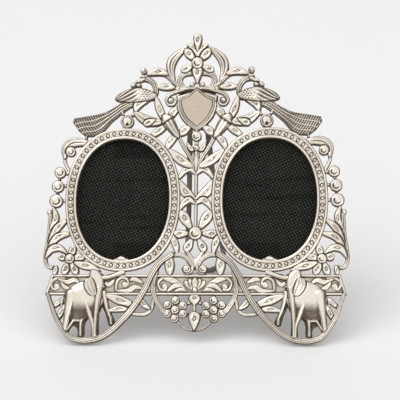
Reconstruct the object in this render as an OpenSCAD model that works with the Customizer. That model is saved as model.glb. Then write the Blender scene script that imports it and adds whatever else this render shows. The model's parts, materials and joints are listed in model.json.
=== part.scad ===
// Double photo frame: a pierced and cast silver plaque with two oval windows,
// leaning back on a hinged loop strut. It stands on z = 0 round the origin, and its
// front looks along -Y.

/* [Windows] */
// Width of each oval opening
window_w = 59.5; // [45:0.5:75]
// Height of each oval opening
window_h = 79.2; // [60:0.2:100]
// Width of the beaded rim round each opening
rim_w = 7.25; // [5:0.25:10]
// Thickness of the rim at its beads
rim_t = 3.6; // [2.5:0.1:5]
// Height of the rim's smooth edges above its beaded channel
rim_lip_h = 1.1; // [0.5:0.1:2]
// Diameter of one bead of the rim
bead_d = 2.8; // [1.5:0.1:3.5]
// Number of bead places round each rim
bead_count = 58; // [30:1:72]
// Width of the scalloped tab at the foot of each opening
tab_w = 9.6; // [6:0.5:16]
// Height of the scalloped tab
tab_h = 2.9; // [1:0.1:3]

/* [Plaque] */
// Width of the openwork column between the two rims
column_w = 20; // [14:0.5:30]
// Width of the foliage outside each rim
side_w = 13.4; // [9:0.1:20]
// Height of the feet below the base band
foot_h = 30.6; // [24:0.2:40]
// Height of the base band
band_h = 13.2; // [9:0.2:18]
// Gap between the base band and the rims
band_gap = 1.8; // [1:0.1:4]
// Height of the crest above the rims
crest_h = 63.6; // [50:0.2:80]
// Thickness of the openwork castings
cast_t = 3.2; // [2:0.1:5]
// Height of the raised middle of each leaf and stem above the casting
relief_h = 1; // [0.4:0.1:2]
// Thickness of the band's sunk field
band_t = 2.2; // [1.5:0.1:4]
// Height of the band's borders and scrolls above its field
band_relief_h = 0.9; // [0.4:0.1:2]
// Thickness of the shield's border
shield_t = 3.8; // [2.5:0.1:6]
// Height of the shield's panel above its border
panel_h = 0.8; // [0.4:0.1:2]
// Thickness of the ribbons that form the feet
ribbon_t = 4.6; // [3.5:0.1:7]
// Thickness of the elephants
elephant_t = 6; // [4:0.1:9]
// Angle by which the plaque leans back
lean = 32; // [20:1:40]

/* [Backing] */
// Depth of the lining behind each rim
lining_d = 5; // [5:0.1:8]
// Wall thickness of the lining
lining_wall = 1.2; // [0.8:0.1:2]
// Width of the ledge on which the glass lies
ledge_w = 2.2; // [1.5:0.1:3]
// Thickness of the glass
glass_t = 1.8; // [1:0.1:2]
// Thickness of the cloth-covered board
board_t = 3; // [2:0.1:3.2]
// Clearance round the glass and the board
pane_gap = 0.2; // [0.1:0.05:0.5]
// Length of a turn button from its pivot to its tip
button_l = 9; // [6:0.5:12]
// Width of a turn button
button_w = 4; // [3:0.1:4.2]
// Thickness of a turn button
button_t = 1; // [0.6:0.1:1.6]
// Diameter of a turn button's rivet
rivet_d = 1.8; // [1.2:0.1:2]
// Height of a rivet's head
rivet_head_h = 0.8; // [0.5:0.1:1.4]

/* [Strut] */
// Height of the hinge pin above the feet, measured along the plaque
hinge_level = 152; // [146:0.5:158]
// Distance of the hinge pin behind the plaque
hinge_off = 5; // [4.5:0.1:6]
// Angle of the open strut to a plumb line
strut_splay = 13; // [10:0.5:20]
// Width of the strut at its foot
strut_foot_w = 29; // [22:0.5:32]
// Width of the strut half way down
strut_mid_w = 21; // [18:0.5:24]
// Width of the strut below its barrel
strut_top_w = 15; // [12:0.5:18]
// Width of the strip from which the strut is bent
strap_w = 3.5; // [2:0.1:4]
// Thickness of the strut
strap_t = 1.6; // [1:0.1:2.2]
// Diameter of the hinge pin
pin_d = 2; // [1.5:0.1:2.4]
// Outer diameter of the hinge barrels
barrel_d = 4.4; // [4:0.1:5]
// Length of the strut's barrel
barrel_l = 7.8; // [6:0.2:10]
// Length of each knuckle of the hinge plate
knuckle_l = 3; // [2:0.1:4]
// Thickness of the hinge plate
hinge_plate_t = 1.5; // [1:0.1:2]
// Height of the hinge plate below the pin
hinge_plate_drop = 9; // [6:0.5:12]
// Height of the hinge plate above the pin
hinge_plate_rise = 7; // [5:0.5:8]

/* [Hidden] */
$fn = 48;

// how far a cut runs past what it cuts
overrun = 1;
// gap between parts that turn on each other, side by side and round a pin
side_gap = 0.3;
pin_gap = 0.05;
// depth by which the round feet are dressed flat
sole_cut = 0.4;
// radius of the solder fillets in the corners of the castings
fillet_r = 0.35;
// how far the raised middle of a casting keeps from its edge
relief_inset = 0.8;
// power of the ovals: 2 is an ellipse, more is squarer
oval_power = 2.2;
// widths of the rim's smooth edges
outer_lip_w = 2;
inner_lip_w = 1.5;
// width of the band's border
band_border_w = 1.5;
// corners of an oval and of a quarter of the strut's foot, and steps along a stroke
oval_steps = 72;
foot_steps = 8;
spine_steps = 8;
stem_steps = 4;

silver = [0.8, 0.77, 0.71];
dark_silver = [0.62, 0.59, 0.54];
cloth_black = [0.1, 0.1, 0.1];
glass_tint = [0.85, 0.92, 0.92, 0.3];
brass = [0.72, 0.6, 0.35];

// places along the plaque that follow from the sizes above
rim_in = column_w / 2;
rim_out = rim_in + window_w + 2 * rim_w;
half_w = rim_out + side_w;
window_x = (rim_in + rim_out) / 2;
band_low = foot_h;
band_high = foot_h + band_h;
rim_low = band_high + band_gap;
rim_high = rim_low + window_h + 2 * rim_w;
window_y = (rim_low + rim_high) / 2;
top = rim_high + crest_h;
opening = [window_w / 2, window_h / 2];
rim_outer = opening + [rim_w, rim_w];
lining_inner = opening + [ledge_w, ledge_w];
lining_outer = lining_inner + [lining_wall, lining_wall];

// where the pin lies above the floor and behind the line of the feet, the strut's length,
// and the middle between the ribbons' front and the strut's foot
half_strap = strap_t / 2;
pin_high = hinge_level * cos(lean) - hinge_off * sin(lean) - sole_cut;
pin_back = hinge_level * sin(lean) + hinge_off * cos(lean);
strut_l = (pin_high + sole_cut) / cos(strut_splay);
strut_reach = pin_back + pin_high * tan(strut_splay) + half_strap / cos(strut_splay);
stand_middle = (strut_reach + relief_inset * sin(lean) - ribbon_t * cos(lean)) / 2;

// The ornament is laid out on squares, counted up from the feet and out from the middle.
// The shares count the squares up to each of these edges of the rims, band and plaque.
column_shares = [0, 4.93, 41.38, 48];
row_shares = [0, 15.1, 21.6, 22.5, 68.65, 100];
column_edges = [0, rim_in, rim_out, half_w];
row_edges = [0, band_low, band_high, rim_low, rim_high, top];
column_lines = [for (i = [0:3]) [column_shares[i], column_edges[i]]];
row_lines = [for (i = [0:5]) [row_shares[i], row_edges[i]]];
function at(p) = [sign(p[0]) * lookup(abs(p[0]), column_lines), lookup(p[1], row_lines)];
function square_size(p) = norm(at(p + [1, 1] / 2) - at(p - [1, 1] / 2)) / norm([1, 1]);

// Strokes of the ornament, right half: kind, width in squares, and points on the grid.
// The shares below are counts of squares chosen by eye.
crest_middle_shares = [
    ["bud", 3, [[0, 93.8], [0, 99.95]]],
    ["ball", 3.8, [[0, 90]]],
    ["bud", 3.6, [[0, 83], [0, 89]]],
    ["stem", 1.6, [[0, 83.6], [0, 82]]]];
crest_side_shares = [
    ["leaf", 2.3, [[0, 92], [1.3, 95.2], [3.5, 96.2]]],
    ["petal", 2.9, [[0.4, 90.4], [4.1, 94.6]]],
    ["petal", 2.5, [[1, 89], [5.4, 87.4]]],
    ["stem", 1.8, [[0.8, 86.9], [3.4, 86.7], [5.1, 85.8], [5.5, 83.9], [4.4, 81.6]]],
    ["leaf", 3.2, [[7.3, 83.6], [8.6, 87.6], [8.3, 90.5], [6.6, 92.9], [3.4, 95.6]]],
    ["stem", 1.8, [[0, 82.2], [2.4, 81.6], [5.2, 81.3]]],
    ["stem", 1.2, [[1.6, 80.8], [5.2, 80.1]]],
    ["ball", 1.7, [[1.6, 82.9]]]];
branch_stem_shares = [
    ["stem", 1.4, [[5.6, 82.3], [7.2, 83.5], [9, 85.3], [10.6, 86.5]]]];
branch_shares = [
    ["leaf", 2.7, [[9.2, 86.2], [12.6, 87.3], [16.4, 86.3]]],
    ["leaf", 2.5, [[7, 81.9], [10, 82.2], [13.2, 82.1]]],
    ["stem", 1.1, [[4.6, 81.4], [8.4, 82]]],
    ["stem", 1.25, [[4.6, 81.2], [6.8, 80.6], [8.8, 79.7], [9.8, 78], [9, 76.5], [7.6, 76.5],
        [7.1, 77.6], [8.2, 78.2]]],
    ["ball", 1.7, [[8.4, 77.6]]]];
peacock_shares = [
    ["ball", 2.1, [[17.3, 87.6]]],
    ["stem", 0.7, [[17.3, 87.5], [17.4, 85.5]]],
    ["ball", 2.1, [[17.4, 85.2]]],
    ["leaf", 1.3, [[16.6, 85], [20, 83.8]]],
    ["ball", 1.9, [[20.5, 82.7]]],
    ["ball", 1.7, [[18.7, 82.7]]],
    ["stem", 1.8, [[17.2, 85.1], [15, 84.4], [13.6, 82.5], [13.3, 80.4], [14.4, 78.6]]],
    ["leaf", 4.8, [[12.7, 79], [19.5, 79.6], [26.4, 78.2]]],
    ["leaf", 2.8, [[13.8, 79.2], [18.6, 76.6], [19.7, 73.8]]],
    ["plate", 0, [[18.4, 78.4], [23.9, 77.1], [27.3, 74.9], [31, 73.3], [39.3, 71.9],
        [39.7, 70.6], [37.9, 68], [35.4, 65.9], [32, 66.2], [29.8, 67.6], [27.2, 70.7],
        [23.7, 73.7], [21.5, 75.3], [19.4, 76]]],
    ["ball", 4.3, [[22.2, 70.8]]],
    ["stem", 1.1, [[22.1, 70.9], [22.3, 68]]],
    ["stem", 0.8, [[21, 72.4], [20.1, 73.6], [20.2, 75.4]]],
    ["stem", 0.8, [[23.2, 72.4], [24, 74]]]];
bell_spray_shares = [
    ["leaf", 3.4, [[10.6, 70.6], [15.6, 71], [20.2, 73.9]]],
    ["petal", 2.4, [[13, 71.4], [17, 69.7]]],
    ["leaf", 2.7, [[9.9, 70.4], [11.9, 74.6], [13.3, 79.2]]],
    ["leaf", 2.6, [[8.9, 71], [7.7, 73.6], [5.4, 75.6]]],
    ["bell", 4, [[9.8, 71.8], [7.9, 68.9], [5.7, 65.4]]],
    ["leaf", 2.5, [[9.4, 69.2], [12.2, 67.6], [15, 65.4]]],
    ["leaf", 2.9, [[5.9, 66.1], [4.1, 67.6], [1.9, 69]]],
    ["leaf", 2.6, [[5.9, 66.2], [8.2, 64.3], [9.8, 61]]],
    ["stem", 1.3, [[6, 66.2], [3.7, 61.9], [1.4, 58], [0.3, 54.6]]]];
column_middle_shares = [
    ["stem", 1.2, [[0, 68.2], [0, 62]]],
    ["bud", 3.2, [[0, 63.4], [0, 67.9]]],
    ["ball", 1.7, [[0, 61.7]]],
    ["stem", 1.1, [[0, 61.8], [0, 36.4]]]];
column_side_shares = [
    ["leaf", 1.7, [[0, 61.8], [1.7, 61.7], [3.1, 64]]],
    ["leaf", 3.2, [[0.8, 55.6], [5, 58.2], [9, 61.7]]],
    ["leaf", 2.2, [[0, 53.2], [2, 55.2], [3.9, 54.3], [6, 51.2]]],
    ["leaf", 3.4, [[0, 45.4], [3.2, 47.7], [5.8, 51.9]]],
    ["leaf", 2.3, [[0, 43.8], [2, 45.2], [3.8, 44.1], [5.2, 41.6]]]];
rosette_middle_shares = [
    ["ball", 4.2, [[0, 34.5]]],
    ["stem", 1, [[0, 26.4], [0, 24.2]]]];
rosette_side_shares = [
    ["petal", 3.5, [[0.8, 35.2], [4.9, 41.8]]],
    ["petal", 2.8, [[1.2, 34.6], [7.4, 34.2]]],
    ["petal", 2.9, [[0.6, 33.4], [3.2, 28.7]]],
    ["leaf", 2.5, [[8, 34.6], [6.3, 31.4], [5.6, 27.8]]],
    ["stem", 1.2, [[3, 29.4], [1.5, 27.4], [0, 25.2]]]];
side_spray_shares = [
    ["leaf", 3.3, [[33, 63.4], [37, 64.1], [40, 63.8], [41.9, 61.9], [41.9, 58.6]]],
    ["stem", 1.1, [[42.2, 60.6], [41.9, 57.6], [40.2, 54.4]]],
    ["ball", 3.2, [[40.1, 61]]],
    ["stem", 0.8, [[35.3, 66.4], [35.3, 64]]],
    ["ball", 3.6, [[43.3, 54.2]]],
    ["ball", 3.9, [[43.9, 49.7]]],
    ["ball", 4.3, [[44.3, 45]]],
    ["stem", 1, [[43.3, 53.6], [40.2, 54.2]]],
    ["stem", 1, [[43.8, 49.6], [40.6, 50.2]]],
    ["stem", 1, [[44.3, 45], [41, 45.2]]],
    ["stem", 0.9, [[43.3, 54.2], [43.8, 49.6], [44.3, 45], [45.6, 41.2]]],
    ["ball", 1.8, [[46.2, 41.2]]],
    ["leaf", 2.2, [[45.2, 43.2], [44.2, 39.4], [46, 35.6]]],
    ["stem", 1.3, [[45.9, 41], [46.3, 34.1], [47, 29.3], [47.1, 25.8], [46, 24], [43.8, 23.8]]],
    ["leaf", 2.4, [[46.2, 31], [43.8, 36], [40, 39.4]]],
    ["leaf", 2.4, [[46.4, 29.4], [43.4, 33.4], [38.8, 34.6]]],
    ["leaf", 2.5, [[47, 26.6], [45.3, 29.4], [42.6, 29.9], [39.8, 27.6]]],
    ["ball", 3, [[39.3, 26.5]]],
    ["petal", 2.6, [[39.3, 26.5], [38.2, 30.6]]],
    ["petal", 2.6, [[39.3, 26.5], [34.4, 27.2]]],
    ["petal", 2.6, [[39.3, 26.5], [43.2, 27.4]]],
    ["petal", 2.7, [[39.3, 26.6], [41.3, 21.4]]],
    ["petal", 2.7, [[39.3, 26.6], [36.9, 21.4]]],
    ["leaf", 1.7, [[43.4, 24.6], [44.2, 21.1]]],
    ["leaf", 2.8, [[38, 25.4], [35.6, 24.6], [32.8, 24], [29.4, 22.6]]]];
ribbon_shares = [
    ["ribbon", 1.8, [[7.4, 27.9], [10.9, 25.4], [13.4, 21.7], [15.2, 17.6], [17.3, 13.9],
        [20.3, 9.6], [25.1, 4.6], [29.1, 1.9], [34, 0.9], [38.4, 1.9], [41, 4.6], [43.1, 7.9],
        [44.6, 11.6], [45.9, 15.4]]],
    ["stem", 1.5, [[12.3, 21.6], [11.9, 23.6], [10.3, 25.8], [7.5, 27.5], [4.7, 27.8], [2.3, 26.6],
        [1, 24.6], [1.3, 22.8], [2.6, 22.2], [3.4, 23.2]]],
    ["ball", 2.5, [[2.5, 23.3]]],
    ["leaf", 3.3, [[8.1, 28], [7.8, 21.2]]],
    ["stem", 1.6, [[12.2, 22.2], [13, 18.3], [12.4, 14.5], [10.6, 11.3], [9.4, 10]]],
    ["stem", 1.1, [[12.9, 13.6], [13.4, 10.8], [15.6, 9.1], [20, 9.4]]],
    ["leaf", 2.1, [[16.8, 14.4], [15.9, 12.4], [13.6, 10.6]]],
    ["leaf", 3, [[18, 11.7], [23, 13.4], [28, 15.1]]],
    ["leaf", 2.1, [[19.8, 10.3], [23.4, 10.8], [27.2, 10]]],
    ["leaf", 1.7, [[40.4, 14.6], [44.4, 11]]],
    ["leaf", 1.9, [[40.3, 12.4], [42.8, 7]]]];
elephant_shares = [
    ["plate", 0, [[22, 23], [22.4, 21.6], [25.9, 20.2], [28, 18.9], [28.1, 17.4], [27.5, 15.7],
        [26.9, 12.6], [25.7, 9.2], [24.6, 6.9], [24.8, 5.5], [26.6, 5.6], [27.6, 9.2],
        [28.8, 11.6], [29.7, 9.4], [29.8, 5.8], [29.6, 2.4], [31.9, 2.2], [31.7, 5.6],
        [32.2, 7.3], [33, 7.8], [33.8, 6.8], [34.2, 5.2], [34.1, 3.4], [34.3, 2.2],
        [36.2, 2.2], [36.1, 3.6], [36.4, 4.7], [37.1, 5.4], [37.9, 5.6], [38.6, 4.7],
        [39.1, 3.6], [39.2, 2.8], [40.3, 3.9], [40.7, 6.7], [40.5, 9.8], [40.9, 13.5],
        [40.1, 16.2], [37.7, 18.2], [34.9, 19.4], [33, 20.3], [32.6, 22.4], [30.4, 22.8],
        [28.4, 21.4], [25.6, 21.9]]],
    ["stem", 0.7, [[40.8, 14.4], [41.4, 12.2], [40.8, 10.2]]]];
elephant_body_shares = [
    ["plate", 0, [[39.6, 15.8], [37.5, 17.7], [34.8, 18.8], [33, 19.6], [31.4, 19.2],
        [29.8, 18], [29.2, 16], [28.9, 13.4], [29.6, 11.6], [30.8, 10], [32, 9.2], [33.2, 9],
        [34.6, 8.2], [36, 7.6], [37.4, 7.6], [38.6, 8.6], [39.8, 10.8], [40.2, 13.4]]],
    ["ball", 4.4, [[31.2, 20.2]]],
    ["leaf", 1.6, [[30.2, 20], [26, 21.2], [22.4, 22.4]]],
    ["leg", 3.2, [[38.4, 14.6], [39.2, 10.6], [39.6, 7.2], [39.8, 4.6]]],
    ["leg", 1.7, [[36.2, 10.4], [36.8, 8.6], [38, 6.4], [39.2, 4.8]]],
    ["leg", 1.9, [[34.6, 9.4], [35.2, 6.2], [35.2, 2.9]]],
    ["leg", 2, [[33.6, 12], [32.2, 8.4], [31.3, 5.6], [31.1, 2.9]]],
    ["leg", 2.2, [[29.8, 16], [30.3, 11.6], [30.5, 7.6], [30.6, 2.9]]],
    ["leg", 1.9, [[28.2, 15.8], [27.2, 11.2], [26, 8], [25.7, 6.2]]]];
elephant_ear_shares = [
    ["petal", 3.2, [[32.8, 19.6], [30.9, 15.2]]]];
pendant_middle_shares = [
    ["petal", 4, [[0, 11.9], [0, 15.4]]],
    ["bud", 3.9, [[0, 4], [0, 9.9]]],
    ["stem", 1, [[0, 11.9], [0, 9.3]]]];
pendant_side_shares = [
    ["ball", 2.6, [[6, 10.5]]],
    ["ball", 2.4, [[8.4, 12.1]]],
    ["ball", 2.4, [[3.6, 11.9]]],
    ["ball", 2.4, [[8.4, 9.4]]],
    ["ball", 2.4, [[6.1, 7.9]]],
    ["ball", 2.4, [[3.6, 9.3]]],
    ["ball", 2.4, [[5.9, 13.5]]],
    ["stem", 1.2, [[6, 10.5], [5.9, 15.4]]],
    ["stem", 1, [[8.4, 12.1], [6, 10.5], [3.6, 9.3]]],
    ["stem", 0.9, [[3.4, 11.8], [1.7, 12.7], [0, 12.9]]],
    ["stem", 0.9, [[3.4, 9.2], [0, 9.1]]],
    ["stem", 0.6, [[5.8, 7.4], [2.9, 4.9], [0, 4.1]]]];
band_scroll_shares = [
    ["stem", 0.8, [[41, 20.2], [42.6, 19.6], [42.9, 18], [41.9, 16.9], [40.8, 17.5]]],
    ["leaf", 1.4, [[42, 20], [38.4, 18.4], [35, 20.2]]],
    ["stem", 0.8, [[22.8, 17.4], [23, 19.8], [21.9, 20.4], [20.7, 19.8], [21.4, 18.2]]],
    ["leaf", 1.4, [[22.8, 17], [19.4, 16.9], [16.6, 19]]],
    ["stem", 0.8, [[10.9, 20], [10.7, 17.8], [9.5, 17.2], [8.8, 18.2]]],
    ["leaf", 1.4, [[10.8, 19.6], [7.6, 20.2], [4.6, 17]]],
    ["petal", 1.4, [[0.4, 16.6], [2.4, 19.8]]],
    ["petal", 1.3, [[0.8, 16.4], [4, 18.2]]]];
band_middle_shares = [["petal", 1.8, [[0, 16.3], [0, 20.4]]]];
band_end_shares = [[46.9, 15.1], [45, 21.6]];
shield_side_shares = [[6.8, 79.2], [6.3, 77.2], [6.4, 75.2], [5.3, 72.2], [3.3, 69.8], [0, 67.2]];
shield_top_shares = [[0, 81.9], [2.5, 80.4], [4.8, 79.6]];
panel_side_shares = [[5, 77.5], [4.7, 75.2], [3.1, 71.8], [0, 68.8]];
panel_top_shares = [[0, 81], [2.5, 78.8], [4.1, 77.9]];

// Smooth curve through points, and the direction along it.
function knot(p, i) = p[max(0, min(len(p) - 1, i))];
function blend(a, b, c, d, t) =
    (2 * b + (c - a) * t + (2 * a - 5 * b + 4 * c - d) * t * t
    + (3 * b - a - 3 * c + d) * t * t * t) / 2;
function curve(p, u) = let (i = min(floor(u), len(p) - 2))
    blend(knot(p, i - 1), p[i], p[i + 1], knot(p, i + 2), u - i);
function normal(p, u) = let (h = 0.01, e = len(p) - 1,
    d = curve(p, min(e, u + h)) - curve(p, max(0, u - h))) [-d[1], d[0]] / norm(d);

// Share of the full width that a stroke has at t along its length.
function leaf_share(t) = pow(max(0, sin(180 * t)), 0.75);
function petal_share(t) = pow(max(0, sin(180 * pow(t, 1.5))), 0.7);
function bud_share(t) = pow(max(0, sin(180 * pow(t, 2))), 0.5);
function bell_share(t) = min(1, 0.72 + 2.4 * t) * pow(max(0, 1 - pow(t, 2.2)), 0.8) + 0.12 * t;
function leg_share(t) = 0.42 + 0.58 * pow(1 - t, 1.6) + 0.12 * pow(t, 8);
function ribbon_share(t) = 1.05 - 0.4 * pow(t, 3);
function stroke_share(kind, t) = kind == "leaf" ? leaf_share(t)
    : kind == "petal" ? petal_share(t) : kind == "bud" ? bud_share(t)
    : kind == "bell" ? bell_share(t) : kind == "leg" ? leg_share(t)
    : kind == "ribbon" ? ribbon_share(t) : 1;

// Outline of one stroke through points on the plaque.
function stroke_side(kind, w, p, steps, side) = [for (i = [0:steps])
    let (t = i / steps, u = t * (len(p) - 1))
    curve(p, u) + normal(p, u) * side * w / 2 * stroke_share(kind, t)];
function reversed(list) = [for (i = [len(list) - 1:-1:0]) list[i]];

module stroke(s) {
    kind = s[0];
    w = s[1] * square_size(s[2][0]);
    p = [for (q = s[2]) at(q)];
    if (kind == "ball") {
        translate(p[0]) circle(d = w, $fn = 16);
    } else if (kind == "plate") {
        polygon(p);
    } else {
        round_end = kind == "stem" || kind == "leg" || kind == "ribbon";
        steps = round_end ? stem_steps * (len(p) - 1) : spine_steps;
        polygon(concat(stroke_side(kind, w, p, steps, 1),
            reversed(stroke_side(kind, w, p, steps, -1))));
        if (round_end) {
            for (end = [0, len(p) - 1])
                translate(p[end]) circle(d = w * stroke_share(kind, sign(end)), $fn = 12);
        }
    }
}

module strokes(list) {
    for (s = list)
        stroke(s);
}

module both_sides() {
    children();
    mirror([1, 0, 0]) children();
}

// side is 1 for the right half and -1 for the left half
module on_side(side) {
    if (side > 0)
        children();
    else
        mirror([1, 0, 0]) children();
}

// From the flat plaque, with x across, y up and z out of its face, to where it stands.
module plaque() {
    translate([0, -stand_middle, -sole_cut]) rotate([90 - lean, 0, 0]) children();
}

module window_place(side) {
    translate([side * window_x, window_y, 0]) children();
}

// Squarish oval with the given half width and half height.
function oval_point(size, angle) = [
    size[0] * sign(cos(angle)) * pow(abs(cos(angle)), 2 / oval_power),
    size[1] * sign(sin(angle)) * pow(abs(sin(angle)), 2 / oval_power)];
function oval_points(size) = [for (i = [0:oval_steps - 1]) oval_point(size, 360 * i / oval_steps)];
module oval(size) {
    polygon(oval_points(size));
}

module oval_ring(outer, inner) {
    n = oval_steps;
    polygon(points = concat(oval_points(outer), oval_points(inner)),
        paths = [[for (i = [0:n - 1]) i], [for (i = [0:n - 1]) n + i]]);
}

module rim_ovals() {
    for (side = [-1, 1])
        window_place(side) oval(rim_outer);
}

// Outlines that run down the right side and up the left side.
function mirrored(points) = concat(points,
    [for (p = reversed(points)) if (p[0] > 0) [-p[0], p[1]]]);
function smooth(shares) = [for (i = [0:stem_steps * (len(shares) - 1)])
    at(curve(shares, i / stem_steps))];

module band_outline() {
    polygon(mirrored([for (p = band_end_shares) at(p)]));
}

module shield_outline() {
    polygon(mirrored(concat(smooth(shield_top_shares), smooth(shield_side_shares))));
}

module panel_outline() {
    polygon(mirrored(concat(smooth(panel_top_shares), smooth(panel_side_shares))));
}

// Outlines of the castings before they are fitted to each other, right half.
// The branches' stems run on into the crest.
module crest_outline() {
    difference() {
        both_sides() {
            strokes(crest_middle_shares);
            strokes(crest_side_shares);
        }
        both_sides() strokes(branch_stem_shares);
    }
}

module branch_outline() {
    strokes(branch_stem_shares);
    strokes(branch_shares);
}

module column_outline() {
    both_sides() {
        strokes(column_middle_shares);
        strokes(column_side_shares);
    }
}

module rosette_outline() {
    both_sides() {
        strokes(rosette_middle_shares);
        strokes(rosette_side_shares);
    }
}

// A casting: the first child is its outline, and the others are cut away from it.
module fitted() {
    offset(r = -fillet_r, $fn = 8) offset(r = fillet_r, $fn = 8) difference() {
        children(0);
        children([1:$children - 1]);
    }
}

module casting(thickness) {
    linear_extrude(thickness) children(0);
    linear_extrude(thickness + relief_h) offset(delta = -relief_inset) children(0);
}

module below_floor() {
    reach = 2 * (half_w + top);
    translate([-reach / 2, -reach / 2, -reach]) cube([reach, reach, reach]);
}

module crest() {
    color(silver) plaque() casting(cast_t) fitted() {
        crest_outline();
        shield_outline();
    }
}

module branch(side) {
    color(silver) plaque() on_side(side) casting(cast_t) fitted() {
        branch_outline();
        shield_outline();
        crest_outline();
    }
}

module peacock(side) {
    color(silver) plaque() on_side(side) casting(cast_t) fitted() {
        strokes(peacock_shares);
        branch_outline();
        strokes(bell_spray_shares);
        rim_ovals();
    }
}

module bell_spray(side) {
    color(silver) plaque() on_side(side) casting(cast_t) fitted() {
        strokes(bell_spray_shares);
        branch_outline();
        shield_outline();
        column_outline();
        rim_ovals();
    }
}

module centre_column() {
    color(silver) plaque() casting(cast_t) fitted() {
        column_outline();
        shield_outline();
        rosette_outline();
        rim_ovals();
    }
}

module rosette() {
    color(silver) plaque() casting(cast_t) fitted() {
        rosette_outline();
        rim_ovals();
        band_outline();
    }
}

module side_spray(side) {
    color(silver) plaque() on_side(side) casting(cast_t) fitted() {
        strokes(side_spray_shares);
        strokes(peacock_shares);
        rim_ovals();
        band_outline();
    }
}

module band_block() {
    linear_extrude(band_t) band_outline();
    linear_extrude(band_t + band_relief_h) difference() {
        band_outline();
        offset(delta = -band_border_w) band_outline();
    }
    linear_extrude(band_t + band_relief_h) intersection() {
        both_sides() {
            strokes(band_scroll_shares);
            strokes(band_middle_shares);
        }
        offset(delta = -band_border_w / 2) band_outline();
    }
}

// Room for the band behind the ribbons and elephants that lap over it.
module band_room() {
    translate([0, 0, -overrun]) linear_extrude(overrun + band_t + band_relief_h) band_outline();
}

module ribbon_foot(side) {
    color(silver) difference() {
        plaque() difference() {
            on_side(side) casting(ribbon_t - relief_h) fitted() {
                strokes(ribbon_shares);
                rosette_outline();
                rim_ovals();
            }
            band_room();
        }
        below_floor();
    }
}

module elephant(side) {
    room_h = elephant_t / 2;
    color(silver) plaque() difference() {
        on_side(side) {
            linear_extrude(room_h) elephant_fitted() strokes(elephant_shares);
            linear_extrude(elephant_t - relief_h) elephant_fitted() strokes(elephant_body_shares);
            linear_extrude(elephant_t) elephant_fitted() strokes(elephant_ear_shares);
        }
        band_room();
    }
}

module elephant_fitted() {
    fitted() {
        children(0);
        strokes(ribbon_shares);
        strokes(side_spray_shares);
        rim_ovals();
    }
}

module base_band() {
    color(dark_silver) plaque() band_block();
}

module pendant() {
    color(silver) plaque() casting(cast_t) fitted() {
        both_sides() {
            strokes(pendant_middle_shares);
            strokes(pendant_side_shares);
        }
        both_sides() strokes(ribbon_shares);
        band_outline();
    }
}

module shield_border() {
    color(silver) plaque() difference() {
        linear_extrude(shield_t) shield_outline();
        translate([0, 0, shield_t - panel_h]) linear_extrude(panel_h + overrun) panel_outline();
    }
}

module shield_panel() {
    color(silver) plaque() translate([0, 0, shield_t - panel_h])
        linear_extrude(2 * panel_h) panel_outline();
}

// Distance along the bead line up to each of its corners, and the angle there.
bead_line = (rim_outer + opening) / 2 + [inner_lip_w - outer_lip_w, inner_lip_w - outer_lip_w] / 2;
bead_corners = [for (i = [0:oval_steps]) oval_point(bead_line, 360 * i / oval_steps)];
bead_steps = [for (i = [1:oval_steps]) norm(bead_corners[i] - bead_corners[i - 1])];
function run(i) = i == 0 ? 0 : run(i - 1) + bead_steps[i - 1];
bead_runs = [for (i = [0:oval_steps]) [run(i), 360 * i / oval_steps]];
function bead_angle(i) = lookup(bead_runs[oval_steps][0] * i / bead_count, bead_runs);

module rim(side) {
    channel_outer = rim_outer - [outer_lip_w, outer_lip_w];
    channel_inner = opening + [inner_lip_w, inner_lip_w];
    tab_r = (tab_w * tab_w / 4 + tab_h * tab_h) / (2 * tab_h);
    color(silver) plaque() window_place(side) {
        linear_extrude(rim_t - rim_lip_h) oval_ring(rim_outer, opening);
        linear_extrude(rim_t) oval_ring(rim_outer, channel_outer);
        linear_extrude(rim_t) oval_ring(channel_inner, opening);
        for (i = [0:bead_count - 1])
            translate(oval_point(bead_line, bead_angle(i))) cylinder(d = bead_d, h = rim_t);
        linear_extrude(rim_t - rim_lip_h) intersection() {
            translate([0, tab_h - opening[1] - tab_r]) circle(r = tab_r);
            oval(opening);
        }
    }
}

// Where a turn button's pivot lies, counted from the middle of its window.
pivot_y = lining_outer[1] + rivet_d / 2;
lug_d = 2 * (rim_outer[1] - pivot_y) - side_gap;
lug_t = lining_d / 2;
button_low = lining_d + side_gap + button_t;

module lining(side) {
    color(dark_silver) plaque() window_place(side) difference() {
        translate([0, 0, -lining_d]) union() {
            linear_extrude(lining_d) oval_ring(lining_outer, lining_inner);
            for (end = [-1, 1])
                linear_extrude(lug_t) difference() {
                    translate([0, end * pivot_y]) circle(d = lug_d);
                    oval((lining_inner + lining_outer) / 2);
                }
        }
        for (end = [-1, 1])
            translate([0, end * pivot_y, -lining_d - overrun])
                cylinder(d = rivet_d, h = overrun + lug_t * 3 / 4);
    }
}

module glass(side) {
    gap = [pane_gap, pane_gap];
    color(glass_tint) plaque() window_place(side) translate([0, 0, -glass_t])
        linear_extrude(glass_t) oval(lining_inner - gap);
}

module backing_board(side) {
    gap = [pane_gap, pane_gap];
    color(cloth_black) plaque() window_place(side) translate([0, 0, -glass_t - board_t])
        linear_extrude(board_t) oval(lining_inner - gap);
}

// end is 1 for the button at the top of the window and -1 for the one at its foot
module turn_button(side, end) {
    color(brass) plaque() window_place(side) translate([0, end * pivot_y, -button_low])
        difference() {
            union() {
                cylinder(d = button_w, h = button_t);
                translate([-button_w / 2, end > 0 ? button_w / 2 - button_l : 0, 0])
                    cube([button_w, button_l - button_w / 2, button_t]);
                translate([0, end * (button_w / 2 - button_l), 0])
                    cylinder(d = button_w, h = button_t);
            }
            translate([0, 0, -overrun])
                cylinder(d = rivet_d + 2 * pin_gap, h = button_t + 2 * overrun);
        }
}

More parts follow.
